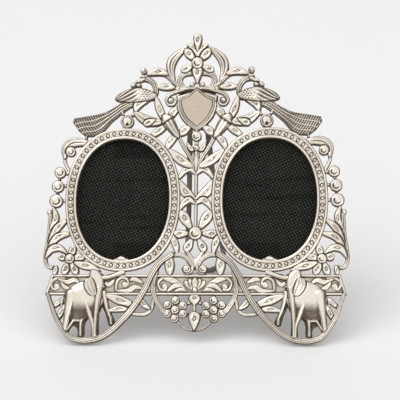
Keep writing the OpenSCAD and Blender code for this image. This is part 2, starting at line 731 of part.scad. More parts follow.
module button_rivets() {
    head_low = button_low + pin_gap + rivet_head_h;
    color(silver) plaque() for (side = [-1, 1], end = [-1, 1])
        window_place(side) translate([0, end * pivot_y, -head_low]) {
            cylinder(d = button_w * 3 / 4, h = rivet_head_h);
            cylinder(d = rivet_d, h = head_low - lining_d + lug_t * 3 / 4);
        }
}

// The hinge: the plate's two knuckles hold the pin, and the strut's barrel turns on it.
hinge_half_l = barrel_l / 2 + side_gap + knuckle_l;
open_angle = lean + strut_splay;
heel_l = (hinge_off - hinge_plate_t - side_gap / 2 - half_strap * cos(open_angle))
    / sin(open_angle);

module at_hinge() {
    plaque() translate([0, hinge_level, -hinge_off]) children();
}

module along_x(length) {
    rotate([0, 90, 0]) translate([0, 0, -length / 2]) children();
}

module hinge_plate() {
    color(silver) at_hinge() difference() {
        union() {
            translate([-hinge_half_l, -hinge_plate_drop, hinge_off - hinge_plate_t])
                cube([2 * hinge_half_l, hinge_plate_drop + hinge_plate_rise, hinge_plate_t]);
            for (side = [-1, 1])
                translate([side * (hinge_half_l - knuckle_l / 2), 0, 0]) {
                    along_x(knuckle_l) cylinder(d = barrel_d, h = knuckle_l);
                    translate([-knuckle_l / 2, -barrel_d / 2, 0])
                        cube([knuckle_l, barrel_d, hinge_off - hinge_plate_t / 2]);
                }
        }
        along_x(2 * (hinge_half_l + overrun))
            cylinder(d = pin_d, h = 2 * (hinge_half_l + overrun));
    }
}

module hinge_pin() {
    color(dark_silver) at_hinge() along_x(2 * hinge_half_l)
        cylinder(d = pin_d, h = 2 * hinge_half_l);
}

module at_strut() {
    at_hinge() rotate([open_angle, 0, 0]) children();
}

module strut_barrel() {
    color(silver) at_strut() difference() {
        union() {
            along_x(barrel_l) cylinder(d = barrel_d, h = barrel_l);
            translate([-barrel_l / 2, 0, -half_strap]) cube([barrel_l, heel_l, strap_t]);
        }
        along_x(barrel_l + 2 * overrun)
            cylinder(d = pin_d + 2 * pin_gap, h = barrel_l + 2 * overrun);
    }
}

// Half widths of the strut at distances below its pin, down to its round foot.
neck_l = barrel_d;
shoulder_l = neck_l + strut_top_w / 2;
foot_r = strut_foot_w / 2;
foot_centre = foot_r - strut_l;
strut_edge = [[barrel_l / 2, 0], [barrel_l / 2, -neck_l], [strut_top_w / 2, -shoulder_l],
    [strut_mid_w / 2, -strut_l / 2]];
loop_edge = [[strut_top_w / 2 - strap_w, -shoulder_l - strap_w / 2],
    [strut_mid_w / 2 - strap_w, -strut_l / 2]];
function foot_arc(r) = [for (i = [0:foot_steps]) let (a = 90 * i / foot_steps)
    [r * cos(a), foot_centre - r * sin(a)]];
function strut_outline(edge, r) = mirrored([for (p = concat(edge, foot_arc(r)))
    [max(0, p[0]), p[1]]]);

module strut_loop() {
    color(silver) difference() {
        at_strut() difference() {
            translate([0, 0, -half_strap]) linear_extrude(strap_t)
                polygon(strut_outline(strut_edge, foot_r));
            translate([0, 0, -half_strap - overrun]) linear_extrude(strap_t + 2 * overrun)
                polygon(strut_outline(loop_edge, foot_r - strap_w));
            along_x(barrel_l + 2 * overrun) cylinder(d = barrel_d, h = barrel_l + 2 * overrun);
        }
        below_floor();
    }
}

crest();
branch(-1);  // left_branch
branch(1);  // right_branch
shield_border();
shield_panel();
peacock(-1);  // left_peacock
peacock(1);  // right_peacock
bell_spray(-1);  // left_bell_spray
bell_spray(1);  // right_bell_spray
centre_column();
rosette();
side_spray(-1);  // left_side_spray
side_spray(1);  // right_side_spray
ribbon_foot(-1);  // left_ribbon_foot
ribbon_foot(1);  // right_ribbon_foot
elephant(-1);  // left_elephant
elephant(1);  // right_elephant
base_band();
pendant();
rim(-1);  // left_rim
rim(1);  // right_rim
lining(-1);  // left_lining
lining(1);  // right_lining
glass(-1);  // left_glass
glass(1);  // right_glass
backing_board(-1);  // left_backing_board
backing_board(1);  // right_backing_board
turn_button(-1, 1);  // left_top_button
turn_button(-1, -1);  // left_bottom_button
turn_button(1, 1);  // right_top_button
turn_button(1, -1);  // right_bottom_button
button_rivets();
hinge_plate();
hinge_pin();
strut_barrel();
strut_loop();
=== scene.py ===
"""Dresses a pierced and cast silver double photo frame: relief on the castings, beaded rims,
shield, woven boards, backing hardware, finishes, and a pale stage with soft light."""

import json
import math
from types import SimpleNamespace

import bpy
import numpy as np
from bpy.props import FloatProperty, FloatVectorProperty, IntProperty, PointerProperty
from mathutils import Matrix, Vector


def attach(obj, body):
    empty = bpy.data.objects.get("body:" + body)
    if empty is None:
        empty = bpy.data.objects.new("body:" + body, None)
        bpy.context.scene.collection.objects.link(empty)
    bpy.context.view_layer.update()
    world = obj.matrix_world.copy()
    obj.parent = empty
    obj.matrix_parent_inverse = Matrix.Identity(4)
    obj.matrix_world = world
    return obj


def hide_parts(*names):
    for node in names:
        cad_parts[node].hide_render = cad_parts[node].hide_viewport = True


bl_info = {
    "name": "Double photo frame",
    "version": (1, 0, 0),
    "blender": (4, 5, 0),
    "location": "3D View > Sidebar > Photo frame",
    "description": "Relief, finishes and stage for a pierced silver double photo frame",
    "category": "Object",
}

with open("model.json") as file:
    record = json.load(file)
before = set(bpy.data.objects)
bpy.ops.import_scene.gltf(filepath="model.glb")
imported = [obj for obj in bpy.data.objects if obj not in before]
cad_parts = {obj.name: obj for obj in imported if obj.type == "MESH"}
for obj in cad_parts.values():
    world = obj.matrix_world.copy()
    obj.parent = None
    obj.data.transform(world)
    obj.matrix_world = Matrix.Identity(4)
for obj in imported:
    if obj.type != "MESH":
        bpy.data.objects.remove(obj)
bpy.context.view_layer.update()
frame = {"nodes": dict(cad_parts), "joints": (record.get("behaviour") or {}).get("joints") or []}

MM = 0.001


def length(name, description, millimetres):
    return FloatProperty(name=name, description=description, default=millimetres * MM,
                         min=0, unit="LENGTH", precision=5)


def colour(name, description, rgb):
    return FloatVectorProperty(name=name, description=description, default=rgb, size=3,
                               min=0, max=1, subtype="COLOR")


class PhotoFrameSizes(bpy.types.PropertyGroup):
    """Sizes of the frame's front, measured along its slope."""
    window_w: length("Window width", "Width of each oval opening", 59.5)
    window_h: length("Window height", "Height of each oval opening", 79.2)
    rim_w: length("Rim width", "Width of the beaded rim round each opening", 7.25)
    rim_t: length("Rim thickness", "Thickness of the rim at its lips", 3.6)
    bead_d: length("Bead diameter", "Diameter of one bead of the rim", 2.9)
    bead_count: IntProperty(name="Beads", description="Number of beads round each rim",
                            default=58, min=12, max=200)
    tab_w: length("Tab width", "Width of the scalloped tab at the foot of each opening", 9.6)
    tab_h: length("Tab height", "Height of the scalloped tab", 2.9)
    column_w: length("Column width", "Width of the openwork between the rims", 20)
    side_w: length("Side width", "Width of the foliage outside each rim", 13.4)
    foot_h: length("Foot height", "Height of the feet below the base band", 30.6)
    band_h: length("Band height", "Height of the base band", 13.2)
    band_gap: length("Band gap", "Gap between the base band and the rims", 1.8)
    crest_h: length("Crest height", "Height of the crest above the rims", 63.6)
    edge_t: length("Casting edge", "Thickness of the castings at their edges", 2.3)
    relief_h: length("Relief", "Height of the modelled leaves above the casting's edge", 1.9)
    band_t: length("Band field", "Thickness of the band's sunk field", 2.2)
    band_relief_h: length("Band relief", "Height of the band's borders and scrolls", 0.9)
    shield_t: length("Shield thickness", "Thickness of the shield's border", 3.8)
    panel_h: length("Panel height", "Height of the shield's panel above its border", 0.8)
    hinge_level: length("Hinge level", "Height of the hinge pin up the slope", 152)
    hinge_off: length("Hinge distance", "Distance of the hinge pin behind the plaque", 5)
    relief_step: length("Relief step", "Distance between the points of the relief", 0.3)


class PhotoFrameColours(bpy.types.PropertyGroup):
    """Colours of the frame's finishes."""
    silver: colour("Silver", "Polished silver", (0.82, 0.76, 0.67))
    # the patina colour also paints the shade on the castings' walls, edges and undersides
    patina: colour("Patina", "Dark tarnish in the hollows", (0.085, 0.058, 0.036))
    aged_silver: colour("Aged silver", "Unpolished silver of the back", (0.5, 0.46, 0.4))
    panel: colour("Shield's panel", "Bare satin silver of the shield", (0.54, 0.465, 0.375))
    cloth: colour("Cloth", "Woven cloth on the boards", (0.0025, 0.0026, 0.0021))
    thread: colour("Thread", "Light points of the cloth's weave", (0.062, 0.064, 0.052))
    brass: colour("Brass", "Turn buttons", (0.6, 0.44, 0.2))
    steel: colour("Steel", "Hinge pin", (0.42, 0.41, 0.4))
    floor: colour("Floor", "Pale paper under and behind the frame", (0.9, 0.895, 0.89))


def sizes_of(context):
    """The sizes in millimetres, with the places that follow from them."""
    group = context.scene.photo_frame_sizes
    s = SimpleNamespace(**{
        key: getattr(group, key) / (1 if key == "bead_count" else MM)
        for key in group.bl_rna.properties.keys() if key not in ("rna_type", "name")})
    s.rim_in = s.column_w / 2
    s.rim_out = s.rim_in + s.window_w + 2 * s.rim_w
    s.half_w = s.rim_out + s.side_w
    s.window_x = (s.rim_in + s.rim_out) / 2
    s.band_high = s.foot_h + s.band_h
    s.rim_low = s.band_high + s.band_gap
    s.rim_high = s.rim_low + s.window_h + 2 * s.rim_w
    s.window_y = (s.rim_low + s.rim_high) / 2
    s.top = s.rim_high + s.crest_h
    s.opening = np.array([s.window_w, s.window_h]) / 2
    s.rim_outer = s.opening + s.rim_w
    return s


# The ornament is laid out on squares, counted up from the feet and out from the middle:
# kind, width in squares, points, and for some a lift in millimetres above the others.
CREST_MIDDLE = [
    ("stem", 1.6, [(0, 83.6), (0, 82)]),
    ("bud", 3, [(0, 93.8), (0, 99.95)], 0.3),
    ("bud", 3.6, [(0, 83), (0, 89)], 0.3),
    ("ball", 3.8, [(0, 90)], 0.9)]
CREST_SIDE = [
    ("ground", 0.7, [(1.4, 81), (3.4, 80.8), (5.6, 80.1)]),
    ("blade", 3.2, [(7.3, 83.6), (8.6, 87.6), (8.3, 90.5), (6.6, 92.9), (3.4, 95.6)]),
    ("leaf", 2.3, [(0, 92), (1.3, 95.2), (3.5, 96.2)], 0.2),
    ("stem", 1.8, [(0.8, 86.9), (3.4, 86.7), (5.1, 85.8), (5.5, 83.9), (4.4, 81.6)]),
    ("petal", 2.9, [(0.4, 90.4), (4.1, 94.6)], 0.3),
    ("petal", 2.5, [(1, 89), (5.4, 87.4)], 0.3),
    ("stem", 1.8, [(0, 82.2), (2.4, 81.6), (5.2, 81.3)]),
    ("ball", 1.7, [(1.6, 82.9)], 0.2)]
BRANCH = [
    ("stem", 1.4, [(4.8, 81.7), (7.2, 83.5), (9, 85.3), (10.6, 86.5)]),
    ("leaf", 2.7, [(9.2, 86.2), (12.6, 87.3), (16.4, 86.3)], 0.2),
    ("stem", 1.1, [(4.6, 81.4), (8.4, 82)]),
    ("leaf", 2.5, [(7, 81.9), (10, 82.2), (13.2, 82.1)], 0.2),
    ("stem", 1.25, [(4.6, 81.2), (6.8, 80.6), (8.8, 79.7), (9.8, 78), (9, 76.5), (7.6, 76.5),
                    (7.1, 77.6), (8.2, 78.2)]),
    ("ball", 1.7, [(8.4, 77.6)], 0.2)]
PEACOCK = [
    ("ball", 2.1, [(17.3, 87.6)]),
    ("stem", 0.7, [(17.3, 87.5), (17.4, 85.5)]),
    ("ball", 2.1, [(17.4, 85.2)]),
    ("leaf", 1.3, [(16.6, 85), (20, 83.8)]),
    ("ball", 1.9, [(20.5, 82.7)]),
    ("ball", 1.7, [(18.7, 82.7)]),
    ("stem", 1.8, [(17.2, 85.1), (15, 84.4), (13.6, 82.5), (13.3, 80.4), (14.4, 78.6)]),
    ("tail", 0, [(18.4, 78.4), (23.9, 77.1), (27.3, 74.9), (31, 73.3), (39.3, 71.9),
                 (39.7, 70.6), (37.9, 68), (35.4, 65.9), (32, 66.2), (29.8, 67.6), (27.2, 70.7),
                 (23.7, 73.7), (21.5, 75.3), (19.4, 76)]),
    ("leaf", 2.8, [(13.8, 79.2), (18.6, 76.6), (19.7, 73.8)]),
    ("feathers", 4.8, [(12.7, 79), (19.5, 79.6), (26.4, 78.2)], 0.7),
    ("stem", 1.1, [(22.1, 70.9), (22.3, 68)]),
    ("stem", 0.8, [(21, 72.4), (20.1, 73.6), (20.2, 75.4)]),
    ("stem", 0.8, [(23.2, 72.4), (24, 74)]),
    ("disc", 4.3, [(22.2, 70.8)], 0.3)]
BELL_SPRAY = [
    ("blade", 3.4, [(10.6, 70.6), (15.6, 71), (20.2, 73.9)]),
    ("petal", 2.4, [(13, 71.4), (17, 69.7)], 0.1),
    ("leaf", 2.7, [(9.9, 70.4), (11.9, 74.6), (13.3, 79.2)]),
    ("leaf", 2.6, [(8.9, 71), (7.7, 73.6), (5.4, 75.6)]),
    ("stem", 1.3, [(6, 66.2), (3.7, 61.9), (1.4, 58), (0.3, 54.6)]),
    ("leaf", 2.5, [(9.4, 69.2), (12.2, 67.6), (15, 65.4)]),
    ("leaf", 2.9, [(5.9, 66.1), (4.1, 67.6), (1.9, 69)]),
    ("leaf", 2.6, [(5.9, 66.2), (8.2, 64.3), (9.8, 61)]),
    ("bell", 4, [(9.8, 71.8), (7.9, 68.9), (5.7, 65.4)], 0.9)]
COLUMN_MIDDLE = [
    ("stem", 1.1, [(0, 61.8), (0, 36.4)]),
    ("stem", 0.6, [(0, 62.4), (0, 54.8)], 0.3),
    ("stem", 1.2, [(0, 68.2), (0, 62)]),
    ("ball", 3.2, [(0, 65.8)], 0.5),
    ("ball", 1.7, [(0, 61.9)], 0.6)]
COLUMN_SIDE = [
    ("stem", 0.6, [(0.2, 54.8), (0.6, 58.6), (1, 61.8)], 0.1),
    ("leaf", 1.7, [(0, 61.8), (1.7, 61.7), (3.1, 64)], 0.3),
    ("leaf", 2.2, [(0, 53.2), (2, 55.2), (3.9, 54.3), (6, 51.2)]),
    ("leaf", 3.2, [(0.8, 55.6), (5, 58.2), (9, 61.7)], 0.2),
    ("leaf", 3.4, [(0, 45.4), (3.2, 47.7), (5.8, 51.9)], 0.2),
    ("leaf", 2.3, [(0, 43.8), (2, 45.2), (3.8, 44.1), (5.2, 41.6)])]
ROSETTE_MIDDLE = [
    ("stem", 1, [(0, 26.4), (0, 24.2)]),
    ("ball", 4.2, [(0, 34.5)], 0.9)]
ROSETTE_SIDE = [
    ("petal", 3.5, [(0.8, 35.2), (4.9, 41.8)], 0.3),
    ("petal", 2.8, [(1.2, 34.6), (7.4, 34.2)], 0.2),
    ("petal", 2.9, [(0.6, 33.4), (3.2, 28.7)], 0.2),
    ("leaf", 2.5, [(8, 34.6), (6.3, 31.4), (5.6, 27.8)]),
    ("stem", 1.2, [(3, 29.4), (1.5, 27.4), (0, 25.2)])]
SIDE_SPRAY = [
    ("stem", 1.1, [(42.2, 60.6), (41.9, 57.6), (40.2, 54.4)]),
    ("stem", 0.8, [(35.3, 66.4), (35.3, 64)]),
    ("blade", 3.3, [(33, 63.4), (37, 64.1), (40, 63.8), (41.9, 61.9), (41.9, 58.6)]),
    ("ball", 3.2, [(40.1, 61)], 0.3),
    ("stem", 1, [(43.3, 53.6), (40.2, 54.2)]),
    ("stem", 1, [(43.8, 49.6), (40.6, 50.2)]),
    ("stem", 1, [(44.3, 45), (41, 45.2)]),
    ("stem", 0.9, [(43.3, 54.2), (43.8, 49.6), (44.3, 45), (45.6, 41.2)]),
    ("ball", 3.6, [(43.3, 54.2)], 0.2),
    ("ball", 3.9, [(43.9, 49.7)], 0.2),
    ("ball", 4.3, [(44.3, 45)], 0.2),
    ("ball", 1.8, [(46.2, 41.2)]),
    ("leaf", 2.2, [(45.2, 43.2), (44.2, 39.4), (46, 35.6)]),
    ("stem", 1.3, [(45.9, 41), (46.3, 34.1), (47, 29.3), (47.1, 25.8), (46, 24), (43.8, 23.8)]),
    ("leaf", 2.4, [(46.2, 31), (43.8, 36), (40, 39.4)]),
    ("leaf", 2.4, [(46.4, 29.4), (43.4, 33.4), (38.8, 34.6)]),
    ("leaf", 2.5, [(47, 26.6), (45.3, 29.4), (42.6, 29.9), (39.8, 27.6)]),
    ("petal", 2.6, [(39.3, 26.5), (38.2, 30.6)], 0.2),
    ("petal", 2.6, [(39.3, 26.5), (34.4, 27.2)], 0.2),
    ("petal", 2.6, [(39.3, 26.5), (43.2, 27.4)], 0.2),
    ("petal", 2.7, [(39.3, 26.6), (41.3, 21.4)], 0.2),
    ("petal", 2.7, [(39.3, 26.6), (36.9, 21.4)], 0.2),
    ("ball", 3, [(39.3, 26.5)], 0.8),
    ("leaf", 1.7, [(43.4, 24.6), (44.2, 21.1)]),
    ("leaf", 2.8, [(38, 25.4), (35.6, 24.6), (32.8, 24), (29.4, 22.6)])]
RIBBON = [
    ("stem", 1.5, [(12.3, 21.6), (11.9, 23.6), (10.3, 25.8), (7.5, 27.5), (4.7, 27.8),
                   (2.3, 26.6), (1, 24.6), (1.3, 22.8), (2.6, 22.2), (3.4, 23.2)], 0.5),
    ("ball", 2.5, [(2.5, 23.3)], 0.5),
    ("leaf", 3.3, [(8.1, 28), (7.8, 21.2)], 0.4),
    ("stem", 1.6, [(12.2, 22.2), (13, 18.3), (12.4, 14.5), (10.6, 11.3), (9.4, 10)], 0.5),
    ("stem", 1.1, [(12.9, 13.6), (13.4, 10.8), (15.6, 9.1), (20, 9.4)]),
    ("leaf", 2.1, [(16.8, 14.4), (15.9, 12.4), (13.6, 10.6)]),
    ("leaf", 3, [(18, 11.7), (23, 13.4), (28, 15.1)]),
    ("leaf", 2.1, [(19.8, 10.3), (23.4, 10.8), (27.2, 10)]),
    ("leaf", 1.7, [(40.4, 14.6), (44.4, 11)]),
    ("leaf", 1.9, [(40.3, 12.4), (42.8, 7)]),
    ("ribbon", 1.8, [(7.4, 27.9), (10.9, 25.4), (13.4, 21.7), (15.2, 17.6), (17.3, 13.9),
                     (20.3, 9.6), (25.1, 4.6), (29.1, 1.9), (34, 0.9), (38.4, 1.9), (41, 4.6),
                     (43.1, 7.9), (44.6, 11.6), (45.9, 15.4)], 0.7)]
ELEPHANT = [
    ("hide", 0, [(22, 23), (22.4, 21.6), (25.9, 20.2), (28, 18.9), (28.1, 17.4), (27.5, 15.7),
                 (26.9, 12.6), (25.7, 9.2), (24.6, 6.9), (24.8, 5.5), (26.6, 5.6), (27.6, 9.2),
                 (28.8, 11.6), (29.7, 9.4), (29.8, 5.8), (29.6, 2.4), (31.9, 2.2), (31.7, 5.6),
                 (32.2, 7.3), (33, 7.8), (33.8, 6.8), (34.2, 5.2), (34.1, 3.4), (34.3, 2.2),
                 (36.2, 2.2), (36.1, 3.6), (36.4, 4.7), (37.1, 5.4), (37.9, 5.6), (38.6, 4.7),
                 (39.1, 3.6), (39.2, 2.8), (40.3, 3.9), (40.7, 6.7), (40.5, 9.8), (40.9, 13.5),
                 (40.1, 16.2), (37.7, 18.2), (34.9, 19.4), (33, 20.3), (32.6, 22.4),
                 (30.4, 22.8), (28.4, 21.4), (25.6, 21.9)]),
    ("stem", 0.7, [(40.8, 14.4), (41.4, 12.2), (40.8, 10.2)], 0.8)]
ELEPHANT_BODY = [
    ("leg", 1.9, [(34.6, 9.4), (35.2, 6.2), (35.2, 2.6)], 0.3),
    ("leg", 1.7, [(36.2, 10.4), (36.8, 8.6), (38, 6.4), (39.4, 4.2)], 0.6),
    ("leg", 1.9, [(28.2, 15.8), (27.2, 11.2), (26, 8), (25.7, 6.2)], 0.4),
    ("body", 0, [(40.4, 16.2), (37.7, 18.3), (34.9, 19.5), (33, 20.2), (31.4, 19.6),
                 (29.6, 18.4), (28.6, 16), (28.4, 13.4), (29.2, 11.2), (30.4, 9.4), (31.6, 8.4),
                 (33, 8.4), (34.4, 7.4), (36, 6.8), (37.6, 6.9), (39, 8), (40.4, 10.4),
                 (40.8, 13.4)], 0.4),
    ("leg", 2, [(33.6, 12.6), (32.2, 8.4), (31.3, 5.6), (31.1, 2.4)], 1.7),
    ("leg", 3.4, [(38.4, 15.2), (39.2, 10.6), (39.7, 7.2), (40.2, 3.6)], 1.9),
    ("leg", 2.3, [(29.7, 17), (30.3, 11.6), (30.5, 7.6), (30.6, 2.4)], 2.2),
    ("limb", 1.6, [(30.4, 20.4), (27.4, 20.6), (24.4, 21.5), (22.4, 22.4)], 1),
    ("skull", 4.2, [(32, 23), (30.6, 20), (29.3, 16.6)], 1.9),
    ("limb", 0.7, [(29.2, 18.2), (27.6, 17.4), (26.2, 17.9)], 1.8),
    ("ear", 3.4, [(32.8, 20.4), (32.6, 18), (31, 14.8)], 2.7)]
PENDANT_MIDDLE = [
    ("petal", 4, [(0, 11.9), (0, 15.4)]),
    ("stem", 1, [(0, 11.9), (0, 9.3)]),
    ("bud", 3.9, [(0, 4), (0, 9.9)], 0.2)]
PENDANT_SIDE = [
    ("stem", 1.2, [(6, 10.5), (5.9, 15.4)]),
    ("stem", 1, [(8.4, 12.1), (6, 10.5), (3.6, 9.3)]),
    ("stem", 0.9, [(3.4, 11.8), (1.7, 12.7), (0, 12.9)]),
    ("stem", 0.9, [(3.4, 9.2), (0, 9.1)]),
    ("stem", 0.6, [(5.8, 7.4), (2.9, 4.9), (0, 4.1)]),
    ("ball", 2.6, [(8.4, 12.1)]),
    ("ball", 2.6, [(3.6, 11.9)]),
    ("ball", 2.6, [(8.4, 9.4)]),
    ("ball", 2.6, [(6.1, 7.9)]),
    ("ball", 2.6, [(3.6, 9.3)]),
    ("ball", 2.6, [(5.9, 13.5)]),
    ("ball", 2.6, [(6, 10.5)], 0.7)]
BAND_SCROLLS = [
    ("stem", 0.9, [(41, 20.3), (43.4, 20.3), (45, 19), (44.4, 17.1), (43.2, 17.2)]),
    ("ball", 1.8, [(43.2, 17.8)]),
    ("leaf", 1.7, [(43, 20.2), (40, 19.2), (37.6, 19.8), (35.6, 18.2)]),
    ("leaf", 1.3, [(42, 19.4), (40.6, 17.6), (38.4, 16.9)]),
    ("stem", 0.9, [(24.6, 17), (24.2, 19.6), (22.6, 20.6), (21, 19.9), (20.9, 18.6)]),
    ("ball", 1.7, [(21.8, 18.4)]),
    ("leaf", 1.7, [(24.8, 16.6), (21, 16.4), (18.6, 17.6), (16, 17)]),
    ("leaf", 1.4, [(20.4, 19.8), (18.6, 20.1), (16, 18.8)]),
    ("leaf", 1.5, [(29.4, 20.2), (27, 18.4), (25, 20.2)]),
    ("stem", 0.9, [(7.4, 20.1), (9.9, 20.4), (11.4, 18.9), (10.6, 16.9), (9, 16.9)]),
    ("ball", 1.7, [(9.3, 17.8)]),
    ("leaf", 1.8, [(9.9, 20.3), (6.8, 19.7), (3.1, 17.3)]),
    ("leaf", 1.5, [(8.6, 16.1), (6, 18.1), (3, 17.1)]),
    ("leaf", 1.1, [(6.4, 16.3), (4.4, 16.9), (2.4, 16.4)]),
    ("petal", 1.6, [(0.2, 16.4), (3.2, 19.6)]),
    ("petal", 1.5, [(0.2, 16.4), (1.7, 20.3)]),
    ("petal", 1.9, [(0, 16.2), (0, 20.6)]),
    ("ball", 1.4, [(0, 16.8)])]
BAND_END = [(46.9, 15.1), (45, 21.6)]
SHIELD_SIDE = [(6.8, 79.2), (6.3, 77.2), (6.4, 75.2), (5.3, 72.2), (3.3, 69.8), (0, 67.2)]
SHIELD_TOP = [(0, 81.9), (2.5, 80.4), (4.8, 79.6)]
PANEL_SIDE = [(5, 77.5), (4.7, 75.2), (3.1, 71.8), (0, 68.8)]
PANEL_TOP = [(0, 81), (2.5, 78.8), (4.1, 77.9)]

# Squares counted up to the edges of the rims, band and plaque
COLUMN_SQUARES = (0, 4.93, 41.38, 48)
ROW_SQUARES = (0, 15.1, 21.6, 22.5, 68.65, 100)


def places_of(squares, s):
    """From squares to millimetres on the plaque."""
    squares = np.asarray(squares, float).reshape(-1, 2)
    across = np.interp(abs(squares[:, 0]), COLUMN_SQUARES, (0, s.rim_in, s.rim_out, s.half_w))
    up = np.interp(squares[:, 1], ROW_SQUARES,
                   (0, s.foot_h, s.band_high, s.rim_low, s.rim_high, s.top))
    return np.stack([np.sign(squares[:, 0]) * across, up], 1)


def square_size(s):
    """Side of one square of the ornament in millimetres."""
    return s.top / ROW_SQUARES[-1]


OUTLINE_STEPS, STROKE_STEPS = 6, 10    # between each two points of a smooth line


def smooth_line(points, steps):
    """Smooth curve through points, with that many steps between each two."""
    p = np.asarray(points, float)
    p = np.concatenate([p[:1], p, p[-1:]])
    t = np.arange(steps)[:, None] / steps
    spans = []
    for a, b, c, d in zip(p, p[1:], p[2:], p[3:]):
        spans.append((2 * b + (c - a) * t + (2 * a - 5 * b + 4 * c - d) * t ** 2
                      + (3 * b - a - 3 * c + d) * t ** 3) / 2)
    return np.concatenate(spans + [p[-1:]])


def mirrored_outline(points):
    """Closed outline from its right half, which runs from the top down."""
    left = [(-x, y) for x, y in points[::-1] if x > 0.01]
    return np.array([tuple(p) for p in points] + left)


def shield_shape(top, side, s):
    """Outline of the shield or its panel, from the points of its top and of one side."""
    return mirrored_outline(places_of(
        np.concatenate([smooth_line(part, OUTLINE_STEPS) for part in (top, side)]), s))


class Grid:
    """Points over a part of the plaque, in millimetres."""

    def __init__(self, x0, x1, y0, y1, step):
        self.step = step
        self.x = x0 + step * np.arange(int(round((x1 - x0) / step)) + 1)
        self.y = y0 + step * np.arange(int(round((y1 - y0) / step)) + 1)
        self.shape = (len(self.y), len(self.x))

    def near(self, points, margin):
        """Slices of the grid round some points, with the places of its points there."""
        low, high = points.min(0) - margin, points.max(0) + margin
        rows = slice(*np.searchsorted(self.y, [low[1], high[1]]))
        columns = slice(*np.searchsorted(self.x, [low[0], high[0]]))
        return (rows, columns), np.meshgrid(self.x[columns], self.y[rows])

    def height(self, face, x, y):
        """Height of a face between the grid's points."""
        across = np.clip((x - self.x[0]) / self.step, 0, self.shape[1] - 1.001)
        up = np.clip((y - self.y[0]) / self.step, 0, self.shape[0] - 1.001)
        j, i = across.astype(int), up.astype(int)
        across, up = across - j, up - i
        return ((face[i, j] * (1 - across) + face[i, j + 1] * across) * (1 - up)
                + (face[i + 1, j] * (1 - across) + face[i + 1, j + 1] * across) * up)


def nearest_on(line, x, y):
    """Distance to a line of points, how far along it that is, and the offset to its left."""
    a, step = line[:-1], np.diff(line, axis=0)
    size = (step ** 2).sum(1)
    flat = np.stack([x.ravel(), y.ravel()], 1)
    away = flat[:, None, :] - a[None]
    t = np.clip((away * step).sum(2) / size, 0, 1)
    gap = ((away - t[..., None] * step) ** 2).sum(2)
    best = gap.argmin(1)
    pick = np.arange(len(flat)), best
    away, t = away[pick], t[pick]
    left = step[best, 0] * away[:, 1] - step[best, 1] * away[:, 0]
    left = left / np.sqrt(size[best])
    return (np.sqrt(gap[pick]).reshape(x.shape), ((best + t) / len(step)).reshape(x.shape),
            left.reshape(x.shape))


def inside_depth(outline, x, y):
    """How deep points lie inside a closed outline."""
    closed = np.concatenate([outline, outline[:1]])
    distance = nearest_on(closed, x, y)[0]
    inside = np.zeros(x.shape, bool)
    for (x0, y0), (x1, y1) in zip(closed, closed[1:]):
        if y0 != y1:
            crosses = (y0 > y) != (y1 > y)
            inside ^= crosses & (x < x0 + (y - y0) * (x1 - x0) / (y1 - y0))
    return np.where(inside, distance, -distance)


OVAL_POWER = 2.2    # 2 is an ellipse, and more is squarer


def oval_depth(x, y, half_size):
    """How deep points lie inside a squarish oval."""
    u, v = abs(x / half_size[0]), abs(y / half_size[1])
    f = (u ** OVAL_POWER + v ** OVAL_POWER) ** (1 / OVAL_POWER) + 1e-9
    slope = np.hypot((u / f) ** (OVAL_POWER - 1) / half_size[0],
                     (v / f) ** (OVAL_POWER - 1) / half_size[1])
    return (1 - f) / slope


def oval_points(half_size, angle):
    """Points on the edge of a squarish oval."""
    return np.stack([half * np.sign(c) * abs(c) ** (2 / OVAL_POWER)
                     for half, c in zip(half_size, (np.cos(angle), np.sin(angle)))], -1)


def even_angles(half_size, count):
    """Angles at even steps along a squarish oval, how far round each lies, and the whole way
    round."""
    fine = np.linspace(0, 2 * np.pi, 7201)
    line = oval_points(half_size, fine)
    run = np.concatenate([[0], np.cumsum(np.hypot(*np.diff(line, axis=0).T))])
    steps = np.linspace(0, run[-1], count + 1)[:-1]
    return np.interp(steps, run, fine), steps, run[-1]


def oval_rings(half_size, angle, offset, heights, dark):
    """A sheet round a squarish oval, with a ring of points at each offset in from its edge."""
    points = np.stack([oval_points(half_size - o, angle) for o in offset], 1)
    n, m = points.shape[:2]
    points = np.dstack([points, np.broadcast_to(heights, (n, m))])
    i, j = np.meshgrid(np.arange(n), np.arange(m - 1), indexing="ij")
    k = (i + 1) % n
    quads = np.stack([i * m + j, k * m + j, k * m + j + 1, i * m + j + 1], -1)
    return points.reshape(-1, 3), quads.reshape(-1, 4), np.broadcast_to(dark, (n, m)).ravel()


def smooth_max(a, b, k):
    """The greater of two values, with a fillet between them."""
    h = np.clip(0.5 + (a - b) / (2 * k), 0, 1)
    return b + (a - b) * h + k * h * (1 - h)


def hump(x, middle, width):
    """1 in the middle, and less the further x is from it."""
    return np.exp(-((x - middle) / width) ** 2)


# Kinds of stroke that swell from a point at both ends: how far the widest place lies from
# the stem, as a power of the run along it, and how full they are, as a power of their width
SWELLS = {"leaf": (1, 0.75), "feathers": (1, 0.75), "blade": (1, 0.6), "skull": (1, 0.5),
          "ear": (1, 0.5), "petal": (1.5, 0.7), "bud": (2, 0.5)}


def width_share(kind, t):
    """Share of its full width that a stroke has at t along its length."""
    if kind in SWELLS:
        widest, full = SWELLS[kind]
        return np.maximum(0, np.sin(np.pi * t ** widest)) ** full
    if kind == "leg":
        return 0.42 + 0.58 * (1 - t) ** 1.6 + 0.12 * t ** 8
    if kind == "bell":
        return np.minimum(1, 0.72 + 2.4 * t) * np.maximum(0, 1 - t ** 2.2) ** 0.8 + 0.12 * t
    if kind == "ribbon":
        return 1.05 - 0.4 * t ** 3
    if kind == "limb":
        return 1.25 - 0.5 * np.sin(np.pi * np.clip(t, 0, 1) ** 0.8)
    return np.ones_like(t)


FAR_OUTSIDE = -9.0    # depth of points that no stroke comes near
THINNEST = 0.1        # thickness that is left wherever a casting runs into a neighbour

